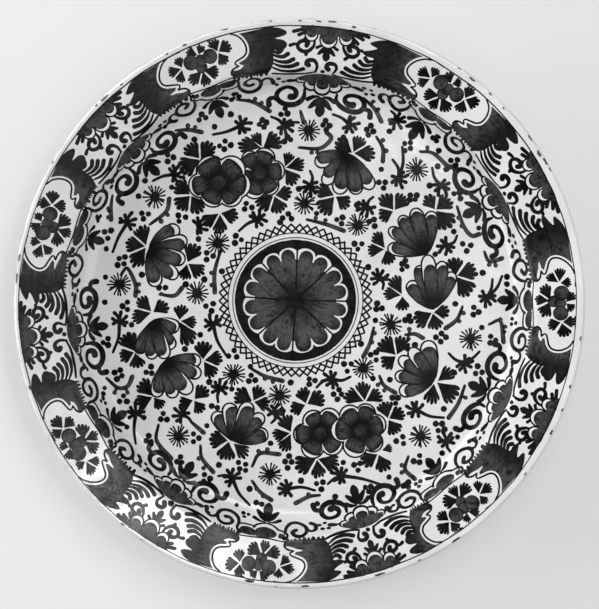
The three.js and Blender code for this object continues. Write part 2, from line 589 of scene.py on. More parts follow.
        for triangle, sweep in cuttings:
            faces.append(tuple(numbers[i] for i in triangle))
            for i in triangle:
                spot = self.corners[i]
                write(spot, facings[numbers[i]], sweep.share(spot) if sweep else AXIS)
        for triangle, _ in cuttings:
            faces.append(tuple(numbers[i] + count for i in reversed(triangle)))
            for i in reversed(triangle):
                write(self.corners[triangle[0]], -facings[numbers[i]])
        for a, b in edges:
            if (b, a) in edges:
                continue
            p, q = numbers[a], numbers[b]
            faces.append((q, p, p + count, q + count))
            outwards = (tops[q] - tops[p]).cross(facings[p]).normalized()
            for i in (b, a, a, b):
                write(self.corners[i], outwards)
        mesh = bpy.data.meshes.new(layer.name)
        mesh.from_pydata([*tops, *bottoms], [], faces)
        mesh.uv_layers.new(name="OFBake")
        mesh.uv_layers.new(name="Brush")
        mesh.uv_layers["OFBake"].data.foreach_set("uv", [c for p in maps for c in p])
        mesh.uv_layers["Brush"].data.foreach_set("uv", [c for p in sweeps for c in p])
        mesh.uv_layers.active = mesh.uv_layers["OFBake"]
        mesh.polygons.foreach_set("use_smooth", [True] * len(faces))
        mesh.normals_split_custom_set(normals)
        return placed(layer.name, mesh)


class Ink:
    """The named pieces that the painting is made of."""

    OUTLINES = Layer("flower_outlines", Coat.DARK)
    PETALS = Layer("flower_petals", Coat.WASH)
    LOBES = Layer("flower_lobes", Coat.DEEP)
    HEARTS = Layer("flower_hearts", Coat.DARK)
    LEAVES = Layer("flower_leaves", Coat.DARK)
    STARS = Layer("star_flowers", Coat.DARK)
    SPRIGS = Layer("small_sprigs", Coat.DARK)
    STEMS = Layer("budded_stems", Coat.DEEP)
    DOTS = Layer("seed_dots", Coat.DARK)
    RESERVE = Layer("reserve", Coat.GLAZE)
    RING = Layer("medallion_ring", Coat.DARK)
    ROSETTE = Layer("medallion_rosette", Coat.WASH)
    SPOKES = Layer("medallion_spokes", Coat.DARK)
    TRELLIS = Layer("medallion_trellis", Coat.DARK)
    THREAD = Layer("medallion_thread", Coat.PALE)
    WALL_FLOWERS = Layer("wall_half_flowers", Coat.DEEP)
    WALL_LINES = Layer("wall_outlines", Coat.DARK)
    WALL_LEAVES = Layer("wall_leaves", Coat.DARK)
    SCROLLS = Layer("wall_scrolls", Coat.DARK)
    LAPPETS = Layer("rim_lappets", Coat.DEEP)
    FRAMES = Layer("rim_cartouche_lines", Coat.DARK)
    BOUQUETS = Layer("rim_bouquets", Coat.DARK)
    BOUQUET_BLOOMS = Layer("rim_bouquet_blooms", Coat.DEEP)
    PLUMES = Layer("rim_plumes", Coat.DARK)
    RIM_FLOWERS = Layer("rim_half_flowers", Coat.DEEP)
    RIM_LINES = Layer("rim_outlines", Coat.DARK)
    EDGE = Layer("rim_edge_line", Coat.DARK)


@dataclass
class Hand:
    """The painter's hand: the touches of the brush that flowers and fillers are made of."""

    face: PaintedFace
    petal_steps: int = 13
    disc_corners: int = 22

    def teardrop(self, base: Point, tip: Point, width: float, fullness: float = 1.0) -> list[Point]:
        """Outline a petal that is pointed at its base and round at its tip.

        Args:
            base: Where the petal springs from.
            tip: Its round end.
            width: Its greatest width.
            fullness: Below 1 the petal is widest nearer to its base.

        Returns:
            The outline.
        """
        length = distance(base, tip) or 1.0
        ux, uy = (tip[0] - base[0]) / length, (tip[1] - base[1]) / length
        left: list[Point] = []
        right: list[Point] = []
        for i in range(1, self.petal_steps):
            t = 1 - (1 - i / self.petal_steps) ** 1.7
            half = width / 2 * 1.612 * t**fullness * math.sqrt(1 - t**4)
            half = min(half, width / 2 * 1.02)
            x, y = base[0] + ux * length * t, base[1] + uy * length * t
            left.append((x - uy * half, y + ux * half))
            right.append((x + uy * half, y - ux * half))
        return [base, *right, tip, *reversed(left)]

    def petal(
        self, base: Point, tip: Point, width: float, layer: Layer, fullness: float = 1.0,
        wet: float = -1.0,
    ) -> None:
        """Wash in a petal whose streaks run from its base to its tip.

        Args:
            base: Where the petal springs from.
            tip: Its round end.
            width: Its greatest width.
            layer: The piece of the painting that it belongs to.
            fullness: Below 1 the petal is widest nearer to its base.
            wet: Where in its run the touch begins; below -1 the base stays dark for longer.
        """
        sweep = Sweep(base, tip, wet, 1.0, width / 2)
        self.face.fill(self.teardrop(base, tip, width, fullness), layer, sweep)

    def disc(
        self, centre: Point, radius: float, layer: Layer, outwards: float = 0.0, wet: float = -1.0
    ) -> None:
        """Fill a round lobe.

        Args:
            centre: Its middle.
            radius: Its radius.
            layer: The piece of the painting that it belongs to.
            outwards: The direction that its streaks run in, in degrees.
            wet: Where in its run the touch begins; the later, the darker.
        """
        start = turned(outwards + 180, radius, centre)
        end = turned(outwards, radius, centre)
        corners = self.disc_corners
        outline = [turned(360 * i / corners, radius, centre) for i in range(corners)]
        self.face.fill(outline, layer, Sweep(start, end, wet, 1.0, radius * 1.5))

    def leaf(
        self, node: Point, middle: Point, layer: Layer, spread: float = 60.0, lobes: int = 5,
        reach: float = 1.82, depth: float = 0.22,
    ) -> None:
        """Paint a fan-shaped leaf with a scalloped edge.

        Args:
            node: The point that the leaves of a spray spring from.
            middle: The middle of the leaf.
            layer: The piece of the painting that it belongs to.
            spread: The angle of the fan, in degrees.
            lobes: The number of scallops.
            reach: The leaf's length, in distances from the node to its middle.
            depth: How deep the notches cut, as a share of the length.
        """
        length = distance(node, middle) * reach
        aim = bearing(node, middle)
        gap = 0.75 / math.sin(math.radians(spread / 2)) * 0.5
        base = turned(aim, gap, node)
        length -= gap
        outline = [base, turned(aim - spread * 0.47, length * 0.4, base)]
        cuts = [random.uniform(0.8, 1.25) for _ in range(lobes)]

        def fan(share: float) -> float:
            """Return how far the fan reaches at a share of its width."""
            return 1 - 0.2 * abs(share) ** 2.4

        start = 0.0
        for cut in cuts:
            wide = cut / sum(cuts)
            size = length * random.uniform(0.93, 1.05)
            for swing in (-0.94, -0.62, -0.2, 0.2, 0.62, 0.94):
                share = 2 * (start + wide * (swing + 1) / 2) - 1
                swell = 1 - depth * 0.8 * (1 - math.sqrt(1 - swing * swing))
                outline.append(turned(aim + spread * share / 2, size * swell * fan(share), base))
            start += wide
            if start < 0.99:
                share = 2 * start - 1
                notch = length * (1 - depth * 1.15) * fan(share)
                outline.append(turned(aim + spread * share / 2, notch, base))
        outline.append(turned(aim + spread * 0.47, length * 0.4, base))
        sweep = Sweep(base, turned(aim, length, base), half=length / 2)
        self.face.fill(outline, layer, sweep)

    def spray(self, node: Point, middles: Sequence[Point], layer: Layer, **options: float) -> None:
        """Paint the leaves that spring from one node, each as wide as its neighbours leave room."""
        aims = [bearing(node, middle) for middle in middles]
        for middle, aim in zip(middles, aims):
            gaps = [abs((other - aim + 180) % 360 - 180) for other in aims if other != aim]
            spread = min(79.0, max(59.0, min(gaps, default=64.0)))
            self.leaf(node, middle, layer, spread, **options)

    def star(self, spot: Point, size: float, rays: int, layer: Layer) -> None:
        """Paint a burst of fine rays about a dark heart."""
        turn = random.uniform(0, 360)
        for i in range(rays):
            aim = turn + 360 * (i + random.uniform(-0.2, 0.2)) / rays
            first = turned(aim, 1.2, spot)
            last = turned(aim + random.uniform(-5, 5), size * random.uniform(0.86, 1.05), spot)
            self.face.stroke([first, last], [1.35, 0.95, 1.2], layer, capped=(False, True))
        self.face.dab(spot, size * 0.33, layer, 12)

    def sprig(self, spot: Point, ends: Sequence[Point], layer: Layer, fingers: int = 7) -> None:
        """Paint a small dark blossom of round fingers, on its thin stems."""
        for end in ends:
            bend = between(spot, end, 0.5)
            aside = turned(bearing(spot, end) + 90, random.choice((-1.5, -0.9, 0.9, 1.5)), bend)
            self.face.stroke([spot, aside, end], [2.7, 2.2, 1.9, 1.7], layer)
        away = bearing(ends[0], spot) if ends else random.uniform(0, 360)
        for i in range(fingers):
            aside = (i + 0.5) / fingers * 2 - 1
            aim = away + 138 * aside + random.uniform(-7, 7)
            reach = (6.4 - 2.2 * abs(aside)) * random.uniform(0.84, 1.1)
            bend = turned(aim + random.uniform(-12, 12), reach * 0.55, spot)
            self.face.stroke(
                [turned(aim, 0.5, spot), bend, turned(aim, reach, spot)], [1.8, 2.1, 2.5], layer
            )
        self.face.dab(spot, 1.8, layer)

    def budded(self, line: Sequence[Point], buds: Sequence[Point], layer: Layer) -> None:
        """Paint a curved stem that thickens to its end, with round buds along one side."""
        self.face.stroke(line, [1.8, 2.6, 3.0], layer)
        path = smooth_line(line)
        for bud in buds:
            foot = min(path, key=lambda p: distance(p, bud))
            self.face.stroke([foot, bud], [1.9, 2.2], layer, capped=(False, False))
            self.face.dab(bud, random.uniform(1.4, 1.65), layer)

    def crown(self, place: Placing, top: Point, reach: float, layer: Layer) -> None:
        """Paint the leaf of three lobes and two side blades that hangs from a flower of the border.

        Args:
            place: The function that puts a note of the motif on the flat face.
            top: Where the leaf hangs from, noted as an angle and a radius.
            reach: Its length.
            layer: The piece of the painting that it belongs to.
        """

        def note(aside: float, drop: float) -> Point:
            """Return the place of a point of the leaf, given in lengths of the leaf."""
            radius = top[1] - drop * reach
            return place((top[0] + math.degrees(aside * reach / radius), radius))

        side = (
            (0.06, 0.0), (0.3, 0.14), (0.47, 0.38), (0.55, 0.57), (0.44, 0.61), (0.3, 0.53), (0.19, 0.47),
            (0.23, 0.64), (0.19, 0.82), (0.09, 0.95),
        )
        outline = [note(x, y) for x, y in side]
        outline.append(note(0.0, 1.0))
        outline += [note(-x, y) for x, y in reversed(side)]
        sweep = Sweep(note(0.0, 0.0), note(0.0, 1.0), half=reach / 2)
        self.face.fill(smooth_line(outline, closed=True, step=1.2), layer, sweep)
        for sense in (-1, 1):
            line = [note(0.1 * sense, -0.02), note(0.36 * sense, 0.02), note(0.6 * sense, 0.15)]
            self.face.stroke(line, [reach * share for share in (0.09, 0.2, 0.23)], layer)


class Spray:
    """Leaves that spring from one node beside a bloom."""

    def __init__(self, node: Point, *leaves: Point, depth: float = 0.22) -> None:
        """Note the node, the middles of the leaves and how deep their notches cut."""
        self.node = node
        self.leaves = leaves
        self.depth = depth

    def paint(self, hand: Hand, place: Placing) -> None:
        """Paint the leaves."""
        hand.spray(place(self.node), [place(p) for p in self.leaves], Ink.LEAVES, depth=self.depth)


@dataclass(frozen=True)
class RoundBloom:
    """A bloom of round lobes about a heart, as a peony is drawn.

    Each lobe is noted as the middle and radius of its wash, and the middle and radius of its outline.
    """

    heart: Point
    size: float
    lobes: tuple[Lobe, ...]
    sprays: tuple[Spray, ...]

    def paint(self, hand: Hand, place: Placing) -> None:
        """Paint the bloom over its leaves."""
        for spray in self.sprays:
            spray.paint(hand, place)
        for change, ink in ((0.1, Ink.OUTLINES), (-OUTLINE, Ink.RESERVE)):
            for *_, x, y, reach in self.lobes:
                hand.disc(place((x, y)), reach + change, ink)
        heart = place(self.heart)
        for x, y, radius, *_ in self.lobes:
            centre = place((x, y))
            tip = turned(bearing(heart, centre), radius - 0.3, centre)
            width = 2 * radius - 0.4
            hand.face.fill(hand.teardrop(heart, tip, width, 0.8), Ink.HEARTS)
            hand.petal(heart, between(tip, heart, 0.06), width - 1.1, Ink.LOBES, 0.85, -2.0)
        rough = [turned(18 * i, self.size * random.uniform(0.82, 1.08), heart) for i in range(20)]
        hand.face.fill(smooth_line(rough, closed=True, step=1.2), Ink.HEARTS)
        hand.disc(heart, self.size * 0.7, Ink.LOBES, random.uniform(0, 360), 0.74)


@dataclass(frozen=True)
class FanBloom:
    """A bloom seen from the side, whose petals spread from one base like a fan.

    Each petal is noted as the tip of its wash, and the tip and width of its outline.
    """

    base: Point
    petals: tuple[Petal, ...]
    sprays: tuple[Spray, ...]

    def paint(self, hand: Hand, place: Placing) -> None:
        """Paint the bloom: its leaves, the outline of each petal, and the washes inside."""
        base = place(self.base)
        for spray in self.sprays:
            spray.paint(hand, place)
        for x, y, rim_x, rim_y, width in self.petals:
            rim = place((rim_x, rim_y))
            tip = between(base, place((x, y)), 1.06)
            inner = between(rim, base, OUTLINE / distance(rim, base))
            spread = width * 1.04
            hand.face.fill(hand.teardrop(base, rim, spread, 0.72), Ink.OUTLINES)
            hand.face.fill(hand.teardrop(base, inner, spread - 2 * OUTLINE, 0.74), Ink.RESERVE)
            hand.face.fill(hand.teardrop(base, tip, spread - 1.2 * OUTLINE, 0.62), Ink.OUTLINES)
            tip = between(tip, base, 0.5 / distance(tip, base))
            hand.petal(base, tip, spread - 2 * OUTLINE, Ink.PETALS, 0.62, -1.5)


@dataclass
class FlowerField:
    """The flowers of the well: four pairs and four single blooms round the medallion.

    Places are millimetres from the middle of the painting, which the painter set a little to the
    left of the dish's own middle. A sprig is noted as its blossom and the ends of its stems, and a
    budded stem as its line and its buds.
    """

    middle: Point = (-2.2, 1.56)
    star_size: float = 6.9
    star_rays: int = 18

    blooms: tuple[RoundBloom | FanBloom, ...] = (
        RoundBloom(
            (-22.5, 79), 5, (
                (-30, 76, 5.5, -30, 76, 7), (-25, 70.5, 5.8, -25.3, 70, 7.6),
                (-17, 71.5, 5.6, -16.8, 71.4, 6.9), (-13.5, 79.7, 5.6, -13.2, 80, 6.9),
                (-19.5, 87.2, 5.7, -19.2, 87.9, 6.9), (-28.2, 86.5, 4.9, -28.3, 87.5, 5.4),
            ), (
                Spray((-20.5, 94.3), (-28.6, 95.9), (-23.4, 99.6), (-14.4, 98)),
                Spray((-6.8, 81.8), (-4.9, 87.2), (0.2, 83.6), (-2.9, 76.2)),
                Spray((-13.3, 65), (-19, 61.1), (-11, 58.9), (-7.2, 66)),
            ),
        ),
        RoundBloom(
            (-47.5, 73), 5.8, (
                (-58.3, 71.2, 6.2, -58.6, 71.2, 8), (-51, 65.8, 6.5, -51, 65.6, 8.3),
                (-40.6, 65.8, 6.3, -40.3, 65.4, 7.9), (-36.8, 71.8, 7, -36, 71.4, 8.7),
                (-40.6, 79.6, 7.3, -39.8, 80.6, 9.2), (-52, 80.4, 7.9, -52.2, 80.4, 9.6),
            ), (
                Spray((-59, 87.3), (-54.9, 93), (-63.4, 92.4), (-66, 83.6)),
                Spray((-64.8, 65.2), (-61, 59.3), (-69.6, 60.4), (-70.2, 69.4)),
                Spray((-46.8, 54.2), (-52.8, 50.2), (-46.6, 46.8), (-40.4, 52.6)),
            ),
        ),
        FanBloom(
            (33, 91), (
                (14, 88, 11.6, 84.8, 9), (18.6, 77.6, 17, 71.6, 8.4), (45.2, 73.2, 47.8, 68.6, 9),
                (27.6, 70, 26.2, 65.4, 10), (37.6, 68.2, 38.2, 65.2, 9.4),
            ), (
                Spray((35.4, 91), (29.4, 95), (38.4, 97), (43.2, 90.8)),
                Spray((24.4, 64.6), (18.2, 67.4), (19.2, 58.8), (29.4, 61.2)),
            ),
        ),
        FanBloom(
            (82, 28.6), (
                (60.6, 32.8, 56.6, 32.6, 8.6), (61, 43, 57.4, 44.6, 8), (84.4, 51.8, 84.4, 55.6, 9.2),
                (66.2, 49.6, 64.4, 52.4, 8.6), (74.4, 53.6, 73.4, 57.4, 9.4),
            ), (
                Spray((86.6, 55.8), (83.2, 60.8), (91.8, 60), (92.2, 49.8)),
                Spray((61, 55.4), (56.8, 60.9), (65, 60.8), (55.8, 53)),
                Spray((55.8, 31.6), (51.6, 37.2), (49.4, 31.2), (57.4, 26)),
            ),
        ),
        FanBloom(
            (85.2, -6), (
                (71, 8.2, 69.6, 11.6, 9), (97, 13.2, 98.2, 17.6, 8.6), (75.8, 18.6, 75.8, 21.8, 8.6),
                (91.8, 20.2, 91.4, 24.6, 8.8), (83.4, 20.6, 81.6, 28.6, 9.4),
            ), (
                Spray((99.4, 15), (98.6, 21.8), (106.8, 17.4), (104.4, 8.4)),
                Spray((85, -7.6), (78.4, -11), (86.4, -13.6), (90.6, -7.2)),
                Spray((66.2, 3), (62.6, 9.6), (59.6, 3.8), (66.4, -2.4)),
            ),
        ),
        FanBloom(
            (86, -50.4), (
                (68.6, -57.2, 64, -57.4, 8.8), (65, -47.2, 61.2, -46.6, 8.4),
                (82.2, -30, 81.6, -24.6, 10.4), (68.4, -38.6, 63.8, -35.4, 8.4),
                (75.4, -33.6, 70.8, -29.4, 8.6),
            ), (
                Spray((87.6, -50.6), (93.4, -46.2), depth=0.3), Spray((87.2, -50.6), (94.6, -56.6)),
                Spray((86, -51), (84.8, -58.4), depth=0.3),
                Spray((62.6, -34.4), (57, -28.8), (65.6, -27.8), (57.6, -38.2)),
            ),
        ),
        RoundBloom(
            (15.4, -82.2), 4.8, (
                (22.4, -89, 5.6, 22.6, -89.4, 7.2), (11.2, -89.8, 6.4, 10.6, -91.2, 7.4),
                (5.2, -83, 5.8, 5.2, -83, 6.9), (11.8, -74.8, 5.4, 11.2, -75, 7.2),
                (20.6, -74.4, 5.6, 20.8, -73.8, 7.3), (24, -81, 5, 24, -81, 5),
            ), (
                Spray((13.2, -98.2), (5.6, -101.6), (14, -105), (20.8, -100.6)),
                Spray((-2.6, -82.2), (-5.8, -76), (-9, -83.4), (-5.6, -88.4)),
                Spray((6.6, -64.6), (4.8, -58.8), (12.8, -61.4), (1, -66.8)),
            ),
        ),
        RoundBloom(
            (40.6, -80.8), 5.2, (
                (37.6, -88.8, 6.4, 37, -90, 8), (48, -87.6, 5.6, 48, -88, 6.6),
                (30.6, -80.4, 6.6, 29.4, -80.6, 8), (34, -72.6, 5.6, 33.8, -71.6, 7),
                (43.6, -70.4, 5.2, 43.4, -70.4, 6.6), (49, -77.8, 5.8, 49.4, -77.4, 7.1),
            ), (
                Spray((43, -63), (42.2, -56), (35.8, -60.2), (48.8, -59.8)),
                Spray((57.4, -73.8), (55.6, -67.4), (62.8, -70.8), (60.8, -79)),
                Spray((51.4, -95.4), (45.6, -98.6), (54, -101.6)), Spray((52.8, -93.4), (57, -92.2)),
            ),
        ),
        FanBloom(
            (-37.6, -88), (
                (-48.2, -72, -50.8, -69, 9), (-19.4, -83.6, -16.8, -82.2, 9.6),
                (-39.2, -67, -41.6, -63.2, 9.8), (-22.4, -74.4, -19.8, -70.4, 8.8),
                (-28.6, -67, -28.6, -62.6, 9.8),
            ), (
                Spray((-41.4, -87), (-48.4, -86.2), (-42.8, -93.8)),
                Spray((-39, -88.2), (-33.8, -92.8), depth=0.3),
                Spray((-26.4, -62.8), (-33, -59.4), (-23.6, -57.6), (-20.6, -64)),
            ),
        ),
        FanBloom(
            (-81.6, -37.4), (
                (-62.6, -36.8, -58.2, -37.2, 9), (-85.2, -56.4, -86.8, -60.2, 8.6),
                (-62.4, -45.6, -58.2, -46.4, 8.8), (-77.4, -57, -75.2, -60.8, 8.6),
                (-69.8, -54.2, -64.8, -57.8, 9.8),
            ), (
                Spray((-88, -59.6), (-93.2, -54.2), (-94, -62.2), (-85, -63.6)),
                Spray((-57.2, -37.2), (-57.4, -30.4), (-50.6, -36.2), (-53.4, -43)),
                Spray((-63, -61.6), (-58.6, -57), (-68.2, -63.4), (-60, -66)),
            ),
        ),
        FanBloom(
            (-87.8, -11.6), (
                (-97, -31, -98, -33, 8.4), (-75, -18.4, -71.8, -17.4, 8.8),
                (-77.4, -26.6, -75.4, -30.2, 8.4), (-90.4, -33.2, -89.2, -36.8, 8.4),
                (-83, -33, -80.2, -36.4, 8.8),
            ), (
                Spray((-88.6, -7.4), (-93.4, -2.4), (-95.6, -9.2), (-83.4, -4.2)),
                Spray((-99.4, -31.8), (-103.2, -25), (-104.8, -33.8), (-98.2, -37.6)),
                Spray((-72, -12.6), (-71.2, -7), (-66, -13.2), (-67.6, -20.6)),
            ),
        ),
        FanBloom(
            (-91, 32), (
                (-76.6, 44.6, -72, 46, 9.4), (-87.4, 12, -86, 8.2, 9.4), (-69.6, 34.8, -66.6, 37.6, 9.2),
                (-77.6, 15, -73.2, 13.4, 8.6), (-71.8, 24.4, -68, 24.4, 9.4),
            ), (
                Spray((-92.2, 33.4), (-94.4, 40.6), (-99.6, 34.6), (-97, 26.6)),
                Spray((-67, 23.2), (-64, 29.8), (-61.4, 19.2), (-68.4, 17.2)),
            ),
        ),
    )

    stars: tuple[Point, ...] = (
        (8, 105), (75, 81), (-87, 64), (-109, 10), (-48, 35.5), (-61, 4.5), (5.5, 60), (38.5, 46.5),
        (59, -15), (42, -42), (108.5, -24), (77.5, -84.5), (-16, -108), (-72.5, -84), (-38.5, -46),
        (-10, -59),
    )

    sprigs: tuple[tuple[Point, ...], ...] = (
        ((-34, 108), (-51, 102.5)), ((-7, 108), (-15, 113.5), (2, 110)), ((-104, 48), (-113, 30)),
        ((-75, 78), (-88, 74)), ((-24, 50), (-35, 43)), ((33, 109), (23, 115)), ((62, 112), (59, 117)),
        ((64, 76), (60, 87), (66, 95)), ((90, 71), (84.5, 82)), ((94, 34), (100, 40)),
        ((119, 2), (122, 13), (128, 15)), ((52, 13.5), (54, 7)), ((23, -49), (34, -47.5), (13, -54)),
        ((104, -39), (95, -33), (114, -32)), ((75, -68), (92, -73)),
        ((29, -109), (53, -114.5), (20, -114)), ((-5, -117), (12, -118)),
        ((-39, -111), (-28.5, -127), (-48, -109)), ((-70, -71), (-64, -76)), ((-99, -70), (-99, -88.5)),
        ((-109, -13), (-113, -32)), ((-51, -15), (-43, -34)), ((-60, 46),), ((9, 71), (9, 80)),
        ((44, 58), (48, 64)), ((-47, -55), (-48, -63)), ((-13, -70), (-15, -76)), ((94, -88), (96, -94)),
    )

    stems: tuple[tuple[tuple[Point, ...], tuple[Point, ...]], ...] = (
        (((-36, 124), (-26, 122.5), (-16, 117)), ((-25, 124.5), (-21, 122))),
        (((-74, 105), (-66, 105.4), (-58, 104)), ((-66.5, 108), (-62, 107))),
        (((2, 94.5), (15, 94), (22, 100), (19, 104)), ((10, 91.5), (13.5, 91.5))),
        (((42, 125), (49, 118), (53, 110.5)), ((48, 123), (51, 118))),
        (((50, 101), (54, 94), (54, 86)), ((54, 99), (56, 92.5))), (((3, 117), (5, 110)), ()),
        (((77, 92), (85, 91), (94, 83)), ((81.5, 94.5),)),
        (((100, 58), (104, 46), (109, 40), (114, 41)), ((101, 51), (103, 46))),
        (((117, 30), (119, 25), (122, 24), (128, 26)), ((120, 22), (124, 21.5))),
        (((7, 50), (19, 47), (30, 43)), ((12.5, 51), (18.5, 49.5))),
        (((-46, 32), (-50, 18), (-50, 5)), ((-52, 17), (-52, 9.5))),
        (((-90, 47), (-80, 55), (-78, 63)), ((-83, 49), (-79, 53))),
        (((-113, 65), (-114, 58), (-114, 50)), ((-115.5, 57), (-115.5, 51.5))),
        (((-108, 16), (-104, 20), (-99, 10), (-99, 3)), ((-97, 10), (-97, 5.5))),
        (((-84, 3.8), (-75, 3), (-70, 8)), ((-83, 4),)),
        (((-117, -48), (-110, -54), (-104, -53), (-101, -47)), ((-112, -57), (-104, -57))),
        (((-28, -42), (-19, -47), (-8, -50)), ((-19, -48.5), (-14, -50.5))),
        (((48.5, -17), (46, -27), (42, -35)), ((49, -20.5), (47.5, -26))),
        (((52, -47), (55, -53), (62, -57.5)), ((51, -52.5), (55, -56))),
        (((103.5, -4), (100, -12), (93, -17.5)), ((104, -8), (101.5, -13))),
        (((68, -21.5), (74, -21), (79, -23.5)), ((70.5, -18), (70, -24))),
        (((120, -15), (127, -13), (129, -26)), ((127, -12), (130, -16.5))),
        (((105, -53), (101, -64), (95, -73)), ((105.5, -60.5),)),
        (((70, -97), (68, -105), (74, -111)), ((66, -102.5), (66, -107))),
        (((-27, -103), (-22, -95), (-10, -95.5)), ((-23, -93.5), (-17.5, -92.5))),
        (((-27, -112), (-22, -119), (-15, -124)), ((-24, -117), (-20, -121.5))),
        (((-59, -90), (-58, -98), (-51, -106.5)), ((-60, -98), (-57, -104))),
        (((-85, -77), (-86, -87), (-77, -98)), ((-86, -87), (-83.5, -91.5), (-79, -96.5))),
        (((-65, -75), (-57, -82)), ()), (((15, -121), (8, -122), (0, -126)), ((8, -120.5),)),
    )

    dots: tuple[Point, ...] = (
        (-58, 115), (-55.5, 113), (-59.5, 111.5), (-38, 127.5), (-35, 126), (-39.5, 124), (-20.5, 111.5),
        (-22.5, 108.8), (-18, 110), (-19.5, 107.2), (-6.5, 118.5), (-9, 115), (-5, 115.5), (-43.5, 98.5),
        (-47, 95.5), (-40, 96), (-44, 93.5), (-5, 101), (-7, 98.2), (-3, 99.3), (-50, 107.3), (-40, 115),
        (-62.5, 99.5), (-79, 90), (-75.5, 88.5), (-79, 86), (-80.5, 110.5), (-78, 110), (-83.5, 108),
        (-80.5, 107.5), (-93, 74), (-76.5, 70), (-115.5, 73), (-113, 75), (-113.5, 70.5), (-95, 54),
        (-91, 53.5), (-94, 50.5), (-97, 64.5), (-122, 50.8), (-117, 32), (-95, 16), (-117.5, 14.5),
        (-118, 42.5), (-114, 43.3), (-116, 38.5), (-109, 26), (-105.5, 27), (-110, 22), (-106, 22.8),
        (-72.5, 52.7), (-68, 51.5), (-72, 49), (-84.5, 8), (-80.5, 8), (-68, 10), (-30.5, 60),
        (-27, 57.5), (-31.5, 56.5), (-4.5, 53.5), (-8, 51), (-2.5, 50.5), (-9.5, 48.3), (-37, 40),
        (-33.5, 37.5), (-37.5, 35.5), (-55, 29.5), (-51, 27.5), (-55, 25.3), (-60, 38), (-45.5, 18),
        (-56.5, 13), (18.5, 111), (17, 108.5), (21, 108), (19, 105.5), (46.5, 108), (44, 105.5),
        (48, 104.5), (45, 102.3), (58, 104.5), (29.5, 101), (53, 81), (2, 69), (51.5, 73), (55.5, 73),
        (54.5, 69.5), (85, 100.5), (87.5, 101.5), (87, 98.8), (67.5, 97), (71, 97.5), (67.5, 92.5),
        (71, 94), (96, 86.5), (100, 87), (99, 83.5), (88.5, 92.5), (88, 83), (83, 71), (98, 66),
        (101.5, 66.5), (102, 63), (71, 65), (75, 65), (71, 62), (74, 62.5), (103.5, 35), (108.5, 34),
        (106, 30.5), (113.5, 44.7), (116, 17), (86.5, 28.5), (98, 42.5), (131, 14.5), (131, 10),
        (68, 24.5), (69, 21), (66, 19), (66, 22.5), (13, 53.8), (38, 59), (45, 20.5), (25.5, 50),
        (29, 51.3), (28.5, 47.5), (36.5, 35), (41, 35), (38.5, 31.7), (45.5, 48.7), (48.5, 50), (49, 46),
        (-118, -1), (-104, -1), (-107, -3.5), (-104, -5.5), (-101.5, -15), (-68.5, -30), (-116, -23.5),
        (-119, -26), (-116, -27.5), (-89.5, -41), (-92.5, -44.5), (-89, -45), (-112, -44.5),
        (-108.5, -43), (-107.5, -46.5), (-110.5, -48.5), (-119, -57.5), (-106.5, -59), (-109, -62.5),
        (-104.5, -62.5), (-55.5, -3.5), (-51, -2), (-52, -6.5), (-59, -21.3), (-53.5, -50.5), (-28, -41),
        (-39.5, -55), (-3, -51), (-38, -31), (-41.5, -34.5), (-36.5, -35), (-27.5, -46.5), (-29, -50),
        (-25, -49.5), (50.5, -2), (50, -5.5), (53.5, -5), (49.5, -12.5), (48, -48.5), (58.5, -49.3),
        (40.5, -27), (46.5, -33.8), (50, -32.3), (50, -37), (30, -39.5), (34.5, -39.5), (32, -44),
        (8.5, -48.8), (12, -49.8), (8.5, -52), (27, -55.5), (23.5, -58.3), (28.5, -58.3), (26, -61.5),
        (60, -60.5), (63.5, -60.5), (62, -64), (99, -2.3), (68, -12.3), (70.5, -9.8), (71.3, -13),
        (87, -23), (90.5, -20.7), (93.2, -23), (90, -25.7), (74, -27.7), (115.5, -17), (110.5, -4.5),
        (113.5, -7.3), (110.2, -9), (121, -22.5), (124, -25), (120.7, -26.5), (113, -41), (111.7, -45.5),
        (115.7, -44.8), (98.5, -45), (92, -67.5), (100.5, -85), (91, -95), (87, -76.7), (91, -76.7),
        (88.5, -81), (92.5, -80.2), (77, -96.5), (73.3, -100), (77, -100.7), (66.5, -84.7), (67, -89),
        (62.5, -87.5), (67, -115.3), (70, -113), (70, -116), (-94, -72.5), (-104.5, -78.3), (-77, -124),
        (-82, -70), (-83.5, -73.5), (-79.7, -73.7), (-91, -83.8), (-92.5, -87), (-89.5, -87.3),
        (-71.3, -97), (-73.5, -100), (-70.5, -100.3), (-55, -77.7), (-47.5, -102), (-28.5, -117),
        (-15.5, -88.7), (-8, -68.7), (-60, -85.3), (-63.3, -87.5), (-63.3, -82.7), (-52, -65.5),
        (-48.5, -66.5), (-56.5, -108), (-53, -110.5), (-57, -112), (-35.5, -100.5), (-31, -101.7),
        (-34.7, -104.5), (-31, -105.5), (-4, -96.7), (-6.5, -100), (-2.5, -100.3), (-5, -104),
        (-24.5, -125.5), (-21, -126.5), (29.5, -100.7), (36.3, -102.2), (40, -101.3), (38.8, -105.5),
        (58, -109.8), (13, -113.8), (17, -113), (16, -117.3), (3.3, -112), (24.5, -122), (13.5, -126.3),
        (43.3, -116.2), (46.7, -115.7), (45.5, -118.7), (69.5, -30),
    )

    def paint(self, hand: Hand) -> None:
        """Paint the fillers first and the blooms over them."""
        section = hand.face.section

        def place(spot: Point) -> Point:
            """Return where a spot of the painting lies on the flat face."""
            return section.laid_out((spot[0] + self.middle[0], spot[1] + self.middle[1]))

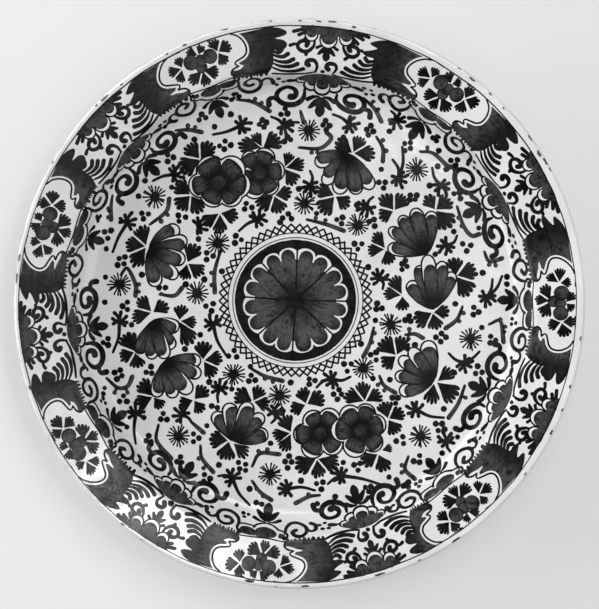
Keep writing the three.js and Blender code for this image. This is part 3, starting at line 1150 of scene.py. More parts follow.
        for line, buds in self.stems:
            hand.budded([place(p) for p in line], [place(p) for p in buds], Ink.STEMS)
        for spot in self.dots:
            hand.face.dab(place(spot), random.uniform(1.7, 2.15), Ink.DOTS)
        for spot in self.stars:
            hand.star(place(spot), self.star_size, self.star_rays, Ink.STARS)
        for spot, *ends in self.sprigs:
            hand.sprig(place(spot), [place(p) for p in ends], Ink.SPRIGS)
        for bloom in self.blooms:
            bloom.paint(hand, place)


@dataclass
class Medallion:
    """The rosette in the middle of the well, with its dark ring, thin line and trellis."""

    centre: Point = (-2.2, 1.5)
    spokes: tuple[float, ...] = (-1.0, 43.0, 88.0, 132.0, 176.0, 222.5, 266.5, 317.5)
    ring_outer: float = 37.6
    thread: float = 38.9
    trellis_inner: float = 41.8
    trellis_middle: float = 44.4
    trellis_outer: float = 47.2
    lattices: int = 58
    bay_foot: float = 29.3
    bay_rise: float = 3.5
    bay_corner: float = 30.4
    bay_steps: int = 26
    petal_foot: float = 9.0
    petal_shoulder: float = 22.0
    spoke_end: float = 33.6

    def at(self, angle: float, radius: float) -> Point:
        """Return the point at an angle and a radius about the medallion's middle."""
        return turned(angle, radius, self.centre)

    def ring(self, hand: Hand, radius: float, layer: Layer, wobble: float = 0.0) -> None:
        """Fill a disc about the medallion's middle."""
        outline = [self.at(i * 3, radius + wobble * random.uniform(-1, 1)) for i in range(120)]
        hand.face.fill(outline, layer)

    def paint(self, hand: Hand) -> None:
        """Paint the medallion from its outermost line inwards."""
        face = hand.face
        pitch = 360 / self.lattices
        for i in range(self.lattices):
            start = pitch * i + random.uniform(-0.6, 0.6)
            for lean in (-1, 1):
                line = [
                    self.at(start - lean * pitch * 0.17, self.trellis_inner - 0.2),
                    self.at(start + lean * pitch * 0.42, self.trellis_middle),
                    self.at(start + lean * pitch, self.trellis_outer),
                ]
                face.stroke(line, [1.2], Ink.TRELLIS, capped=(False, True), step=2.4)
        rings = ((self.trellis_inner, 0.7, Ink.TRELLIS), (self.thread, 0.75, Ink.THREAD))
        for radius, width, layer in rings:
            circle = [self.at(i * 4, radius) for i in range(91)]
            face.stroke(circle, [width], layer, smooth=False, capped=(False, False))
        self.ring(hand, self.ring_outer, Ink.RING, 0.12)
        for first, last in zip(self.spokes, (*self.spokes[1:], self.spokes[0] + 360)):
            sector = last - first
            edge: list[Point] = [self.centre]
            for k in range(self.bay_steps + 1):
                share = k / self.bay_steps
                bay = abs(math.sin(2 * math.pi * share)) ** 0.42
                radius = self.bay_foot + self.bay_rise * bay
                if share in (0.0, 1.0):
                    radius = self.bay_corner
                edge.append(self.at(first + sector * share, radius))
            face.fill(edge, Ink.RESERVE)
            for side in (0.27, 0.73):
                aim = first + sector * side
                half = sector * 0.222
                reach = random.uniform(31.4, 32.3)
                outline = [self.at(aim - half * 0.9, self.petal_foot)]
                for k in range(17):
                    t = k / 16
                    swing = math.cos(math.pi * t)
                    rise = math.sin(math.pi * t) ** 0.62
                    radius = self.petal_shoulder + (reach - self.petal_shoulder) * rise
                    outline.append(self.at(aim - half * swing, radius))
                outline.append(self.at(aim + half * 0.9, self.petal_foot))
                outline.append(self.at(aim, 2.0))
                sweep = Sweep(self.at(aim, 0.0), self.at(aim, reach), half=4.2)
                face.fill(outline, Ink.ROSETTE, sweep)
            wedge = [
                self.at(first, 0.5), self.at(first, 25.0), self.at(first + sector * 0.25, 27.6),
                self.at(first + sector * 0.5, 25.6), self.at(first + sector * 0.75, 27.6),
                self.at(last, 25.0),
            ]
            sweep = Sweep(self.centre, self.at(first + sector / 2, 32.0), half=10.0)
            face.fill(wedge, Ink.ROSETTE, sweep)
        for spoke in self.spokes:
            line = [self.at(spoke, 3.0), self.at(spoke, self.spoke_end)]
            face.stroke(line, [1.5, 1.0, 1.2], Ink.SPOKES, capped=(False, False))
        heart = [self.at(i * 9, random.uniform(4.4, 6.4)) for i in range(40)]
        face.fill(heart, Ink.SPOKES)


@dataclass(frozen=True)
class Repeat:
    """A place round the dish where a motif of the border comes back, and how far it is stretched."""

    angle: float
    stretch: float = 1.0


@dataclass
class Border:
    """The painted band of the wall and the rim: seven panels, and a flower between each two.

    A motif is noted once, as angles in degrees and radii in millimetres about the band's middle,
    and is painted again at each of its places.
    """

    middle: Point = (-1.5, 0.3)
    panels: tuple[float, ...] = (0.5, 55.3, 112.0, 162.5, 212.5, 262.0, 309.5)
    panel_home: float = 55.3
    gap_home: float = 137.0
    gap_span: float = 50.5
    nudges: tuple[float, ...] = (-0.6, -0.5, -0.2, -0.7, -0.5, 1.0, -0.4)
    white: float = 1.2
    foot_radius: float = 142.2
    end_radius: float = 170.8
    flower_weight: float = 1.45
    lotus_weight: float = 1.3
    gap_weight: float = 1.5

    def foot(self, angle: float) -> float:
        """Return the radius at which the rim's panels meet the painting of the wall."""
        return self.foot_radius + 1.3 * math.cos(math.radians(angle - 300))

    def end(self, angle: float) -> float:
        """Return the radius of the painting's outer edge."""
        return self.end_radius + 0.6 * math.cos(math.radians(angle - 290))

    def placer(self, hand: Hand, home: float, repeat: Repeat) -> Placing:
        """Return the function that puts a note of the motif on the flat face.

        Args:
            hand: The painter's hand, which knows the dish's section.
            home: The angle at which the motif was noted.
            repeat: The place where it is painted.

        Returns:
            The function.
        """
        section = hand.face.section

        def levels(angle: float) -> tuple[Point, float, float]:
            """Return the foot of the rim's painting at an angle, its run and its end's run."""
            foot = turned(angle, self.foot(angle), self.middle)
            end = turned(angle, self.end(angle), self.middle)
            return foot, section.run_to(math.hypot(*foot)), section.run_to(math.hypot(*end))

        def place(note: Point) -> Point:
            """Put one note of the motif on the flat face."""
            _, low, high = levels(note[0])
            spot = turned(note[0], note[1], self.middle)
            climb = section.run_to(math.hypot(*spot)) - low
            angle = repeat.angle + (note[0] - home) * repeat.stretch
            foot, new_low, new_high = levels(angle)
            if climb > 0:
                climb *= (new_high - new_low) / (high - low)
            scale = (new_low + climb) / math.hypot(*foot)
            return foot[0] * scale, foot[1] * scale

        return place

    def gaps(self) -> list[Repeat]:
        """Return the places between the panels."""
        ends = (*self.panels[1:], self.panels[0] + 360)
        return [
            Repeat((first + last) / 2 + nudge, (last - first) / self.gap_span)
            for first, last, nudge in zip(self.panels, ends, self.nudges)
        ]

    def paint(self, hand: Hand) -> None:
        """Paint the wall's flowers, then the rim from its dark masses to its fine lines."""
        gaps = [self.placer(hand, self.gap_home, repeat) for repeat in self.gaps()]
        panels = [self.placer(hand, self.panel_home, Repeat(angle)) for angle in self.panels]
        for place in gaps:
            self.wall_flower(hand, place)
        for place in panels:
            self.wall_lotus(hand, place)
        for i, angle in enumerate(self.panels):
            self.lappets(hand, angle, panels[i], gaps[i - 1], gaps[i])
        for place in panels:
            self.panel(hand, place)
        for place in gaps:
            self.between(hand, place)
        self.edge(hand)

    def pen(self, face: PaintedFace, place: Placing, weight: float) -> Pen:
        """Return the function that draws a stroke through notes of a motif.

        Args:
            face: The face that is painted.
            place: The function that puts a note of the motif on it.
            weight: What every width of the motif is multiplied by.

        Returns:
            The function.
        """

        def line(notes: Sequence[Point], widths: Sequence[float], layer: Layer) -> None:
            """Draw one stroke of the motif."""
            face.stroke([place(p) for p in notes], [weight * w for w in widths], layer)

        return line

    def wall_flower(self, hand: Hand, place: Placing) -> None:
        """Paint the half flower of the wall, its leaf, its scrolls and its seeds."""
        face = hand.face
        line = self.pen(face, place, self.flower_weight)
        for notes in (
            ((133.4, 131), (133.3, 127.5), (131.8, 124.4), (129.3, 123), (127.2, 124.3),
             (126.3, 127.5), (126.6, 130.5), (128, 132.6), (130, 132.4), (131.2, 130.6),
             (131.1, 128.2), (130, 126.8), (129, 127.2)),
            ((141.3, 132.2), (141.3, 129), (142, 125.5), (143.8, 123.1), (146, 123.4),
             (147.7, 126), (148.1, 129.3), (147.3, 132), (145.5, 133.5), (143.8, 132.4),
             (143.3, 130), (143.8, 128), (144.7, 127.8)),
        ):
            line(notes, [1.2, 2.3, 2.4, 2.3, 2, 1.9, 3], Ink.SCROLLS)
        line(((127, 125.3), (125.6, 127), (124.4, 126.2), (124, 123.4)), [1.6, 2, 2.6], Ink.SCROLLS)
        line(((147.7, 126), (149, 128), (150.1, 127.2), (150.3, 124)), [1.6, 2, 2.6], Ink.SCROLLS)
        for spot in (
            (126, 138), (127.7, 138), (125.3, 136), (126.8, 135.2), (146.2, 136.3), (147.3, 138.3),
            (147.8, 135),
        ):
            face.dab(place(spot), random.uniform(1.4, 1.7), Ink.DOTS)
        hand.crown(place, (137.1, 128.3), random.uniform(12.2, 13.2), Ink.WALL_LEAVES)
        line(((130.6, 136.8), (129.4, 136.8), (128.2, 136.4)), [1.2, 2.6, 2.8], Ink.WALL_LEAVES)
        line(((142.8, 137), (143.8, 136.8), (144.9, 136.8)), [1.2, 2.4, 3], Ink.WALL_LEAVES)
        for base, tip, width in (
            ((136, 141.5), (130.8, 136), 7.6), ((138.3, 141.5), (143.4, 136), 7.6),
            ((136.5, 141), (133.4, 131.8), 9.4), ((137.7, 141), (140.7, 131.6), 9.4),
            ((137.1, 141), (137.2, 129), 10.4),
        ):
            first, last = place(base), place(tip)
            reach = distance(first, last)
            face.fill(hand.teardrop(first, last, width, 0.8), Ink.WALL_LINES)
            for short, slim, ink in ((1.6, 1.9, Ink.RESERVE), (4.2, 2.9, Ink.WALL_LINES)):
                inner = between(last, first, short / reach)
                face.fill(hand.teardrop(first, inner, width - slim, 0.8), ink)
            hand.petal(first, between(last, first, 4.9 / reach), width - 3.9, Ink.WALL_FLOWERS, 0.8)
        body = (
            (131.3, 137.3), (131.9, 138.9), (133.2, 140.3), (135, 141.2), (137.1, 141.6), (139.2, 141.2),
            (141, 140.3), (142.3, 138.9), (142.9, 137.3), (141.2, 136.5), (140, 135.8), (138.9, 136.6),
            (138, 135.4), (137.1, 135), (136.2, 135.4), (135.4, 136.6), (134.2, 135.8), (132.9, 136.6),
        )
        outline = rounded(place, body, 1.5)
        wet = random.uniform(-0.1, 0.5)
        face.fill(outline, Ink.WALL_FLOWERS, Sweep(place((137, 142)), place((137, 131)), wet, 1.1, 16))

    def wall_lotus(self, hand: Hand, place: Placing) -> None:
        """Paint the flat flower under a panel, with its leaf and its two scrolls."""
        face = hand.face
        line = self.pen(face, place, self.lotus_weight)
        for notes, widths in (
            (((48.3, 141), (48.2, 137.6), (47, 134.6), (45, 133.6), (43.2, 135.4), (42.6, 138.4),
              (43.3, 140.8), (44.8, 141.5), (46.2, 140.8), (46.7, 139.2), (45.7, 137.8),
              (44.8, 138.1)), [1.2, 2.2, 2.2, 2, 1.8, 2.8]),
            (((42.8, 137.6), (42, 139.8), (40.9, 140.4), (39.8, 139.4), (39.4, 136.8)), [1.5, 2.1, 2.4]),
            (((60.2, 140.9), (60.6, 137.4), (62, 134.6), (63.9, 134.8), (65.5, 137.2), (65.6, 139.6),
              (64.6, 141.3), (62.9, 141.4), (62.1, 140.1), (62.9, 138.7)), [1.2, 2.2, 2.2, 1.9, 2.8]),
            (((65.5, 137.6), (66.6, 139.3), (67.9, 138.6), (68, 136.4), (66.9, 134.9)), [1.5, 2.1, 2.6]),
        ):
            line(notes, widths, Ink.SCROLLS)
        for spot in ((49.4, 134.8), (49, 132.3), (50.4, 132.4), (46.7, 128.4)):
            face.dab(place(spot), random.uniform(1.3, 1.6), Ink.DOTS)
        hand.crown(place, (55.4, 135.4), random.uniform(12, 13.2), Ink.WALL_LEAVES)
        for notes in (
            ((48.8, 142.8), (51, 143.3), (53, 142.9), (52.9, 141.2), (51.8, 140.1), (50.2, 139.9),
             (49, 140.9)),
            ((53, 142.9), (55.2, 143.2), (57.4, 142.8), (58.2, 141.4), (57.4, 139.6), (55.6, 138.4),
             (53.8, 139), (52.8, 140.6)),
            ((58.6, 142.6), (60.2, 142.8), (60.2, 141.4), (58.9, 140.8)),
        ):
            outline = rounded(place, notes, 1.5)
            sweep = Sweep(place((55, 143.4)), place((55, 137.6)), 0.6, 1, 14)
            face.fill(outline, Ink.WALL_FLOWERS, sweep)
        for notes in (
            ((49.2, 143), (48.3, 141.9), (48.2, 140.2), (49.2, 138.9), (51, 138.7), (52.4, 138.9)),
            ((52.3, 139.6), (52.8, 138.1), (54.1, 136.9), (55.4, 136.4), (57, 137.1), (58.4, 138.8)),
            ((58.4, 139.1), (59.6, 139.7), (60.7, 140.8), (60.7, 142.2), (59.9, 143.1)),
        ):
            line(notes, [1.35], Ink.WALL_LINES)

    def lappets(self, hand: Hand, angle: float, inside: Placing, before: Placing, after: Placing) -> None:
        """Paint the two dark masses beside a panel, with their torn outer edges.

        Args:
            hand: The painter's hand.
            angle: The panel's angle, which also sets how much painted shade darkens the wash.
            inside: The function that places notes of the panel.
            before: The same for the gap on the clockwise side.
            after: The same for the gap on the other side.
        """
        right = (
            (125.6, 170.4), (127.3, 169), (128.6, 167), (129.2, 165.4), (128.6, 164.3), (127.6, 163.6),
            (128.6, 161.6), (129.9, 160), (130.1, 158.6), (129, 157.2), (127.8, 157.2), (127.6, 154),
            (127.5, 150), (127.1, 146.5), (126.2, 143.6),
        )
        left = (
            (148.2, 170.4), (146.4, 169.2), (145.1, 166.9), (145.3, 165), (146.3, 163.9), (147.3, 163.2),
            (145.8, 161.9), (145.1, 159.6), (145.4, 157.2), (146.6, 155.5), (147.8, 156.4), (148, 153),
            (148.1, 150), (148.5, 146.5), (149.4, 143.2),
        )
        for outside, torn, sense in ((after, right, 1), (before, left, -1)):
            home = self.panel_home + sense * 3
            outline = [inside((home, 170.4))]
            outline += smooth_line([outside(p) for p in torn], step=1.4)
            first = outside((126.4 if sense > 0 else 149.4, 142.6))
            last = inside((60.2 if sense > 0 else 49.2, 143.6))
            shares = [random.uniform(0.5, 1.5) for _ in range(9)]
            for k, wide in enumerate(shares):
                fall = random.uniform(0.5, 1.1) * (1.0 + 1.3 * wide)
                for share, drop in ((0.1, 0), (0.25, 0.8), (0.5, 1), (0.78, 0.8), (0.92, 0)):
                    spot = between(first, last, (sum(shares[:k]) + wide * share) / sum(shares))
                    scale = 1 - (drop * fall - 0.3) / math.hypot(*spot)
                    outline.append((spot[0] * scale, spot[1] * scale))
            outline.append(inside((home, 144.4)))
            start = inside((65.2 if sense > 0 else 44.2, 157))
            end = outside((129 if sense > 0 else 146, 157))
            # Painted shade: the wash is darker on panels round 110 degrees, where the rim is in shade.
            wet = 0.6 + 0.16 * math.cos(math.radians(angle - 110)) + random.uniform(-0.12, 0.1)
            hand.face.fill(outline, Ink.LAPPETS, Sweep(start, end, wet, 1.25, 17))

    def panel(self, hand: Hand, place: Placing) -> None:
        """Paint one panel: its white ground, its dark line and the bouquet in it."""
        face = hand.face
        left = (
            (47.2, 170.3), (45.9, 168.2), (45, 164.8), (44.6, 161.2), (44.7, 157.8), (45.4, 155.4),
            (46.6, 154.1), (47.6, 153), (47.8, 151.6), (47.2, 150.2),
        )
        left_foot = ((47.2, 150), (48.5, 149.2), (49.2, 147.6), (49.2, 145.8), (48.6, 144.5))
        right = (
            (61, 170.3), (62.4, 168.8), (63.8, 165.6), (64.7, 161.8), (64.9, 158.4), (64.3, 155.8),
            (62.9, 154), (61.8, 152.6), (61.6, 151.2), (62.4, 149.9),
        )
        right_foot = ((62.4, 149.8), (61.2, 149.1), (60.4, 147.7), (60.1, 146), (60.6, 144.5))
        base = ((48.8, 144.5), (52, 143.9), (55.3, 143.4), (58, 143.8), (60.4, 144.6))
        for notes in (left, right):
            face.stroke([place(p) for p in notes], [OUTLINE + 2 * self.white], Ink.RESERVE)
        for notes in (
            ((46, 150.1), (47.4, 150.6), (48.6, 149.6), (48.5, 148.2), (47, 148.1)),
            ((64.6, 149.4), (62.6, 150.4), (61, 149.4), (60.6, 147.2), (61.6, 147), (63, 148.3)),
        ):
            face.fill(rounded(place, notes), Ink.RESERVE)
        ground = [*left, *left_foot[1:], *base[1:-1], *reversed(right_foot[1:]), *reversed(right)]
        face.fill(rounded(place, ground, 1.2), Ink.RESERVE)
        for notes in (left, left_foot, right, right_foot):
            face.stroke([place(p) for p in notes], [OUTLINE, 1.3, OUTLINE], Ink.FRAMES)
        face.stroke([place(p) for p in base], [0.8, 1.1, 0.8], Ink.FRAMES)
        for node, leaves in (
            ((50.8, 161.7), ((49.2, 163.2), (51, 166), (50.3, 157.3))),
            ((59.3, 160.4), ((59.3, 164.2), (61, 161.1), (60.3, 156.7))),
            ((55, 163.8), ((54.2, 166.4), (56.1, 166.3))),
            ((55.4, 154.5), ((53.6, 151.8), (55.6, 149.3), (57.3, 152.2))),
        ):
            hand.spray(place(node), [place(p) for p in leaves], Ink.BOUQUETS, reach=1.98)
        for spot, radius in (
            ((55.3, 156.4), 3.9), ((54.9, 160.4), 3.8), ((52.7, 160.8), 4.8), ((57.1, 161.4), 4.9)
        ):
            hand.disc(place(spot), radius, Ink.BOUQUETS)
            hand.disc(place(spot), radius - 0.6, Ink.BOUQUET_BLOOMS, random.uniform(0, 360), 0.3)

    def between(self, hand: Hand, place: Placing) -> None:
        """Paint what fills the white gap between two panels."""
        face = hand.face
        line = self.pen(face, place, self.gap_weight)
        for edge, sense in ((127.2, 1), (148.4, -1)):
            for step in range(5):
                high = 156.9 - 2.7 * step + random.uniform(-0.3, 0.3)
                long = sense * (2.3 + 1.02 * step) * random.uniform(0.92, 1.06)
                sag = 1.5 + 0.3 * step
                notes = (
                    (edge, high), (edge + 0.3 * long, high - sag), (edge + 0.7 * long, high - sag - 0.6),
                    (edge + long, high - sag + 0.9),
                )
                line(notes, [0.8, 1.35, 1.75, 1.9], Ink.PLUMES)
        for notes in (
            ((126, 143.8), (128.4, 141.8), (131, 141), (133.6, 141.1), (135.4, 142.1)),
            ((139.4, 142.6), (141.4, 141.1), (143.6, 140.8), (146, 141), (148.6, 142.2)),
        ):
            line(notes, [0.9, 1.6, 1], Ink.PLUMES)
        for notes, widths in (
            (((134.2, 161.8), (133.8, 158), (132.8, 155.2), (131.6, 155.2), (130.9, 157.6),
              (131.3, 160.4), (132.4, 161.2), (133.1, 159.9), (132.6, 158.3)), [1, 1.8, 1.6, 2.1]),
            (((132.9, 155.6), (132.8, 154.2), (133.3, 152.8)), [1.1, 1.7]),
            (((131.1, 159.4), (130.7, 159.7), (130.3, 159.7)), [1, 1.5]),
            (((139.7, 162), (139.9, 158.2), (140.9, 155.2), (142.1, 155.1), (143, 157.3),
              (142.8, 160), (141.9, 161.3), (141, 160.2), (141.3, 158.4)), [1, 1.8, 1.6, 2.1]),
            (((141.2, 155.2), (141.5, 154.3), (141.3, 153.2)), [1.1, 1.7]),
            (((142.8, 159.2), (143.7, 159.3), (144.5, 158.6)), [1, 1.6]),
            (((135.2, 143.2), (134.7, 146.2), (135.2, 148.6), (136.5, 148.5), (136.9, 146.5),
              (136.4, 145)), [1, 1.7, 2.3]),
            (((139.2, 142.4), (138.9, 146.6), (139.6, 149.7), (140.8, 149.6), (141.2, 147.7),
              (140.7, 146.9)), [1, 1.7, 2.3]),
        ):
            line(notes, widths, Ink.PLUMES)
        face.dab(place((137.6, 143.2)), 1.5, Ink.DOTS)
        hand.crown(place, (137.2, 158.9), 9.4, Ink.PLUMES)
        for base, tip in (
            ((133.3, 169.8), (129.7, 168.7)), ((133.3, 169), (130.6, 166.4)),
            ((133.6, 168.6), (131.4, 163.2)), ((134, 168), (132.2, 162.8)),
            ((140.2, 169.8), (143.8, 166.8)), ((139.8, 169), (142.8, 164.8)),
            ((139.6, 168.6), (141.6, 162.4)),
        ):
            line((base, tip), [1.5, 1.5, 1.6], Ink.PLUMES)
        for centre, size in (((133.8, 164.8), 4.8), ((140.4, 165), 4.6), ((137.1, 162.9), 6.1)):
            spot = place(centre)
            high = turned(bearing(AXIS, spot), 2, spot)
            hand.disc(spot, size, Ink.RIM_LINES)
            hand.disc(spot, size - 1.1, Ink.RESERVE)
            hand.disc(high, size - 0.9, Ink.RIM_LINES)
            hand.disc(high, size - 1.35, Ink.RIM_FLOWERS, bearing(spot, AXIS))
        mass = (
            (131.6, 170.5), (132, 168.3), (133.8, 166.6), (135.6, 165), (137.2, 166.4), (138.7, 165),
            (140.4, 166.6), (142.1, 168.3), (142.7, 170.5), (137.2, 170.7),
        )
        sweep = Sweep(place((137.2, 171.5)), place((137.2, 160.8)), -0.5, 0.95, 13)
        face.fill([place(p) for p in mass], Ink.RIM_FLOWERS, sweep)

    def edge(self, hand: Hand) -> None:
        """Draw the fine line that closes the painting off towards the lip."""
        section = hand.face.section
        line: list[Point] = []
        for i in range(0, 361, 3):
            radius = self.end(i) + random.uniform(-0.18, 0.18)
            line.append(section.laid_out(turned(i, radius, self.middle)))
        widths = (0.6, 0.9, 0.7, 1.0, 0.6, 0.8, 0.6, 0.9, 0.7, 0.6)
        hand.face.stroke(line, widths, Ink.EDGE, capped=(False, False), step=1.5)


@dataclass
class ChippedLip:
    """The places along the lip where the glaze has flaked off and the clay shows."""

    chips: tuple[tuple[float, float], ...] = (
        (28.4, 2.6), (30.2, 4.2), (32.3, 3.2), (36, 3.4), (44, 1.6), (48, 2), (52.6, 3.6), (56, 2.2),
        (75, 1.8), (79, 2.2), (83.5, 4.4), (86.2, 2.6), (90, 1.8), (96, 2.2), (99.5, 1.6), (105.4, 3.8),
        (114, 2.2), (118, 1.6), (129, 1.8), (133.4, 4.2), (135.6, 2), (150, 1.8), (170.4, 3.4),
        (174.6, 4.6), (197, 1.8), (231, 1.8), (236, 1.6), (259.6, 3.8), (265, 1.6), (271, 2.8),
        (286.4, 4), (295, 1.6), (303.5, 4.2), (323, 1.6), (325, 1.4), (333, 2.8), (338, 1.6), (343, 1.6),
        (353, 2),
    )

    def flake(self, hand: Hand) -> None:
        """Flake the glaze off along the lip, and wear a broken fringe of bare clay near its outer edge.
        """
        section = hand.face.section
        for angle, length in self.chips:
            run = section.lip_start + random.uniform(-0.2, 2.2)
            low = 0.5 + 0.5 * math.cos(math.radians(angle - 262))
            length *= 1.5 + 0.5 * low
            width = min(0.9 + 0.2 * length, 2.2) * random.uniform(0.8, 1.15)
            outline: list[Point] = []
            corners = 9 + int(length * 2)
            for k in range(corners):
                turn = FULL_TURN * k / corners
                rough = random.uniform(0.68, 1.12)
                aside = math.degrees(math.cos(turn) * rough * length / 2 / run)
                outline.append(turned(angle + aside, run + math.sin(turn) * rough * width / 2))
            hand.face.fill(outline, CHIP)
        # The fringe is worn glaze and also painted shade: a dark broken line where the lip turns under.
        angle = 0.0
        while angle < 360:
            length = random.uniform(0.6, 4.5)
            if random.random() < 0.5:
                run = section.edge - random.uniform(0.7, 1.3)
                line = [turned(angle + length * k / 4, run) for k in range(5)]
                widths = [0.1, random.uniform(0.3, 0.7), random.uniform(0.25, 0.8), 0.1]
                hand.face.stroke(line, widths, CHIP, smooth=False, capped=(False, False))
            angle += length + random.uniform(0.1, 1.6)


@dataclass
class Wheel:
    """The potter's wheel: a profile is drawn point by point and spun about the dish's axis."""

    turns: int = 256
    weld: float = 1e-6
    crease: float = math.radians(32)

    def turn(self, name: str, profile: Sequence[Point]) -> bpy.types.Object:
        """Turn a closed or axis-to-axis profile into a solid.

        Args:
            name: The name of the piece.
            profile: Radii and heights in millimetres, in order along the profile.

        Returns:
            The turned piece.
        """
        bpy.ops.object.select_all(action="DESELECT")
        bpy.ops.mesh.primitive_plane_add(size=10 * MM)
        piece = bpy.context.active_object
        piece.name = name
        piece.data.name = name
        bpy.ops.object.mode_set(mode="EDIT")
        bpy.ops.mesh.select_all(action="SELECT")
        bpy.ops.mesh.merge(type="CENTER")
        radius, height = profile[0]
        bpy.ops.transform.translate(value=(radius * MM, 0, height * MM))
        for (r0, z0), (r1, z1) in zip(profile, profile[1:]):
            bpy.ops.mesh.extrude_vertices_move(
                TRANSFORM_OT_translate={"value": ((r1 - r0) * MM, 0, (z1 - z0) * MM)}
            )
        bpy.ops.mesh.select_all(action="SELECT")
        bpy.ops.mesh.remove_doubles(threshold=self.weld)
        bpy.ops.mesh.spin(steps=self.turns, angle=FULL_TURN, center=(0, 0, 0), axis=(0, 0, 1))
        bpy.ops.mesh.select_all(action="SELECT")
        bpy.ops.mesh.remove_doubles(threshold=self.weld)
        bpy.ops.mesh.normals_make_consistent(inside=False)
        bpy.ops.object.mode_set(mode="OBJECT")
        bpy.ops.object.shade_smooth_by_angle(angle=self.crease)
        return piece


@dataclass
class ThrownDish:
    """The turned parts of the dish: body, foot ring, and the glaze of the back and the base."""

    section: DishSection
    wheel: Wheel
    clearance: float = 0.02
    edge_softening: float = 0.25
    scar_side: float = 5.0
    scar_inset: float = 17.0
    scars: int = 3

    def under_face(self, stretches: Sequence[tuple[float, float, int]], depth: float) -> list[Point]:
        """Return the profile that lies a depth below the glazed face.

        Args:
            stretches: The stretches of the face to follow, each with its number of steps.
            depth: The depth below the glaze.

        Returns:
            The radii and heights along the profile.
        """
        final = stretches[-1][1]
        return [
            self.section.at(first + (last - first) * i / steps).under(depth)
            for first, last, steps in stretches
            for i in range(steps + (last == final))
        ]

    def face_line(self, coat: float) -> list[Point]:
        """Return the face's profile at a height above the clay, from the middle outwards."""
        s = self.section
        stretches = (
            (0.0, s.toe_start, 12), (s.toe_start, s.toe_end, 14), (s.toe_end, s.wall_end, 3),
            (s.wall_end, s.shoulder_end, 12), (s.shoulder_end, s.lip_start, 5), (s.lip_start, s.edge, 14),
        )
        line = self.under_face(stretches, s.glaze - coat)
        line[0] = (0.0, line[0][1])
        return line

    def back_line(self, coat: float) -> list[Point]:
        """Return the back's profile at a depth below the clay, from the outer edge to the base."""
        s = self.section
        line: list[Point] = [(s.lip_centre[0] + s.lip_rounding + coat, s.lip_centre[1])]
        radius = s.under_lip_radius + coat
        x, y = s.under_lip_centre
        for i in range(12):
            turn = -(UPRIGHT - s.rim_slope) * i / 12
            line.append((x + radius * math.cos(turn), y + radius * math.sin(turn)))
        stretches = (
            (s.lip_start, s.shoulder_end, 5), (s.shoulder_end, s.wall_end, 10),
            (s.wall_end, s.toe_end, 3), (s.toe_end, s.toe_start, 14),
        )
        line += self.under_face(stretches, s.glaze + s.clay + coat)
        line[-1] = (s.well_radius, s.foot_height - coat)
        return line

    def flank(self, outer: bool, height: float, outwards: float = 0.0) -> Point:
        """Return a point of the foot ring's outer or inner flank at a height."""
        s = self.section
        top = s.foot_diameter / 2
        bottom = top - s.foot_outer_taper
        if not outer:
            top -= s.foot_width
            bottom = top + s.foot_inner_taper
        return bottom + (top - bottom) * height / s.foot_height + outwards, height

    def fillet(self, outer: bool, coat: float, size: float = 1.6) -> list[Point]:
        """Round the glaze where the base meets a flank of the foot ring, flank first."""
        sense = 1 if outer else -1
        foot = self.flank(outer, self.section.foot_height - coat, sense * coat)
        low = self.flank(outer, foot[1] - size, sense * coat)
        level = (foot[0] + sense * size, foot[1])
        corner = [low]
        for i in range(1, 6):
            t = i / 6
            first, last = between(low, foot, t), between(foot, level, t)
            corner.append(between(first, last, t))
        corner.append(level)
        return corner

    def body(self) -> bpy.types.Object:
        """Turn the clay body, whose clay shows where the glaze has chipped."""
        height = self.section.foot_height
        profile = [(0.0, height), *reversed(self.back_line(0)), *reversed(self.face_line(0))]
        return self.wheel.turn("thrown_body", profile)

    def foot(self) -> bpy.types.Object:
        """Turn the foot ring, with its bevelled resting edge."""
        height, bevel = self.section.foot_height, self.section.foot_bevel

        def side(outer: bool, inwards: int) -> list[Point]:
            """Return a flank from its top to the resting edge, with its softened bevel."""
            level = self.flank(outer, 0)[0]
            return [
                self.flank(outer, height), self.flank(outer, bevel * 1.3),
                self.flank(outer, bevel, inwards * 0.03), (level + inwards * bevel * 0.5, bevel * 0.42),
                (level + inwards * bevel, 0.0),
            ]

        profile = [*side(False, 1), *reversed(side(True, -1)), self.flank(False, height)]
        return self.wheel.turn("turned_foot", profile)

    def back(self) -> bpy.types.Object:
        """Turn the glaze of the back and cut the pin scars into it."""
        s = self.section
        gap, coat = self.clearance, s.glaze
        outside = self.fillet(True, coat)
        profile = [
            *self.back_line(gap), self.flank(True, s.foot_height - gap, gap),
            self.flank(True, s.bare_height, gap), self.flank(True, s.bare_height, coat * 0.6),
            self.flank(True, s.bare_height + self.edge_softening, coat), *outside,
            *reversed(self.back_line(coat)), self.back_line(gap)[0],
        ]
        glaze = self.wheel.turn("glaze_of_the_back", profile)
        radius = s.diameter / 2 - self.scar_inset
        across = self.scar_side / math.sqrt(3)
        middle = s.under_lip_centre[1] - s.under_lip_radius - 1.5
        for i in range(self.scars):
            turn = FULL_TURN * i / self.scars
            bpy.ops.object.select_all(action="DESELECT")
            bpy.ops.mesh.primitive_cylinder_add(
                vertices=3, radius=across * MM, depth=2 * (s.clay + s.glaze) * MM,
                location=(radius * math.cos(turn) * MM, radius * math.sin(turn) * MM, middle * MM),
                rotation=(0, 0, turn + math.pi),
            )
            pin = bpy.context.active_object
            bpy.ops.object.select_all(action="DESELECT")
            glaze.select_set(True)
            bpy.context.view_layer.objects.active = glaze
            cut = glaze.modifiers.new("pin scar", "BOOLEAN")
            cut.operation = "DIFFERENCE"
            cut.solver = "EXACT"
            cut.object = pin
            bpy.ops.object.modifier_apply(modifier=cut.name)
            bpy.data.objects.remove(pin)
        return glaze

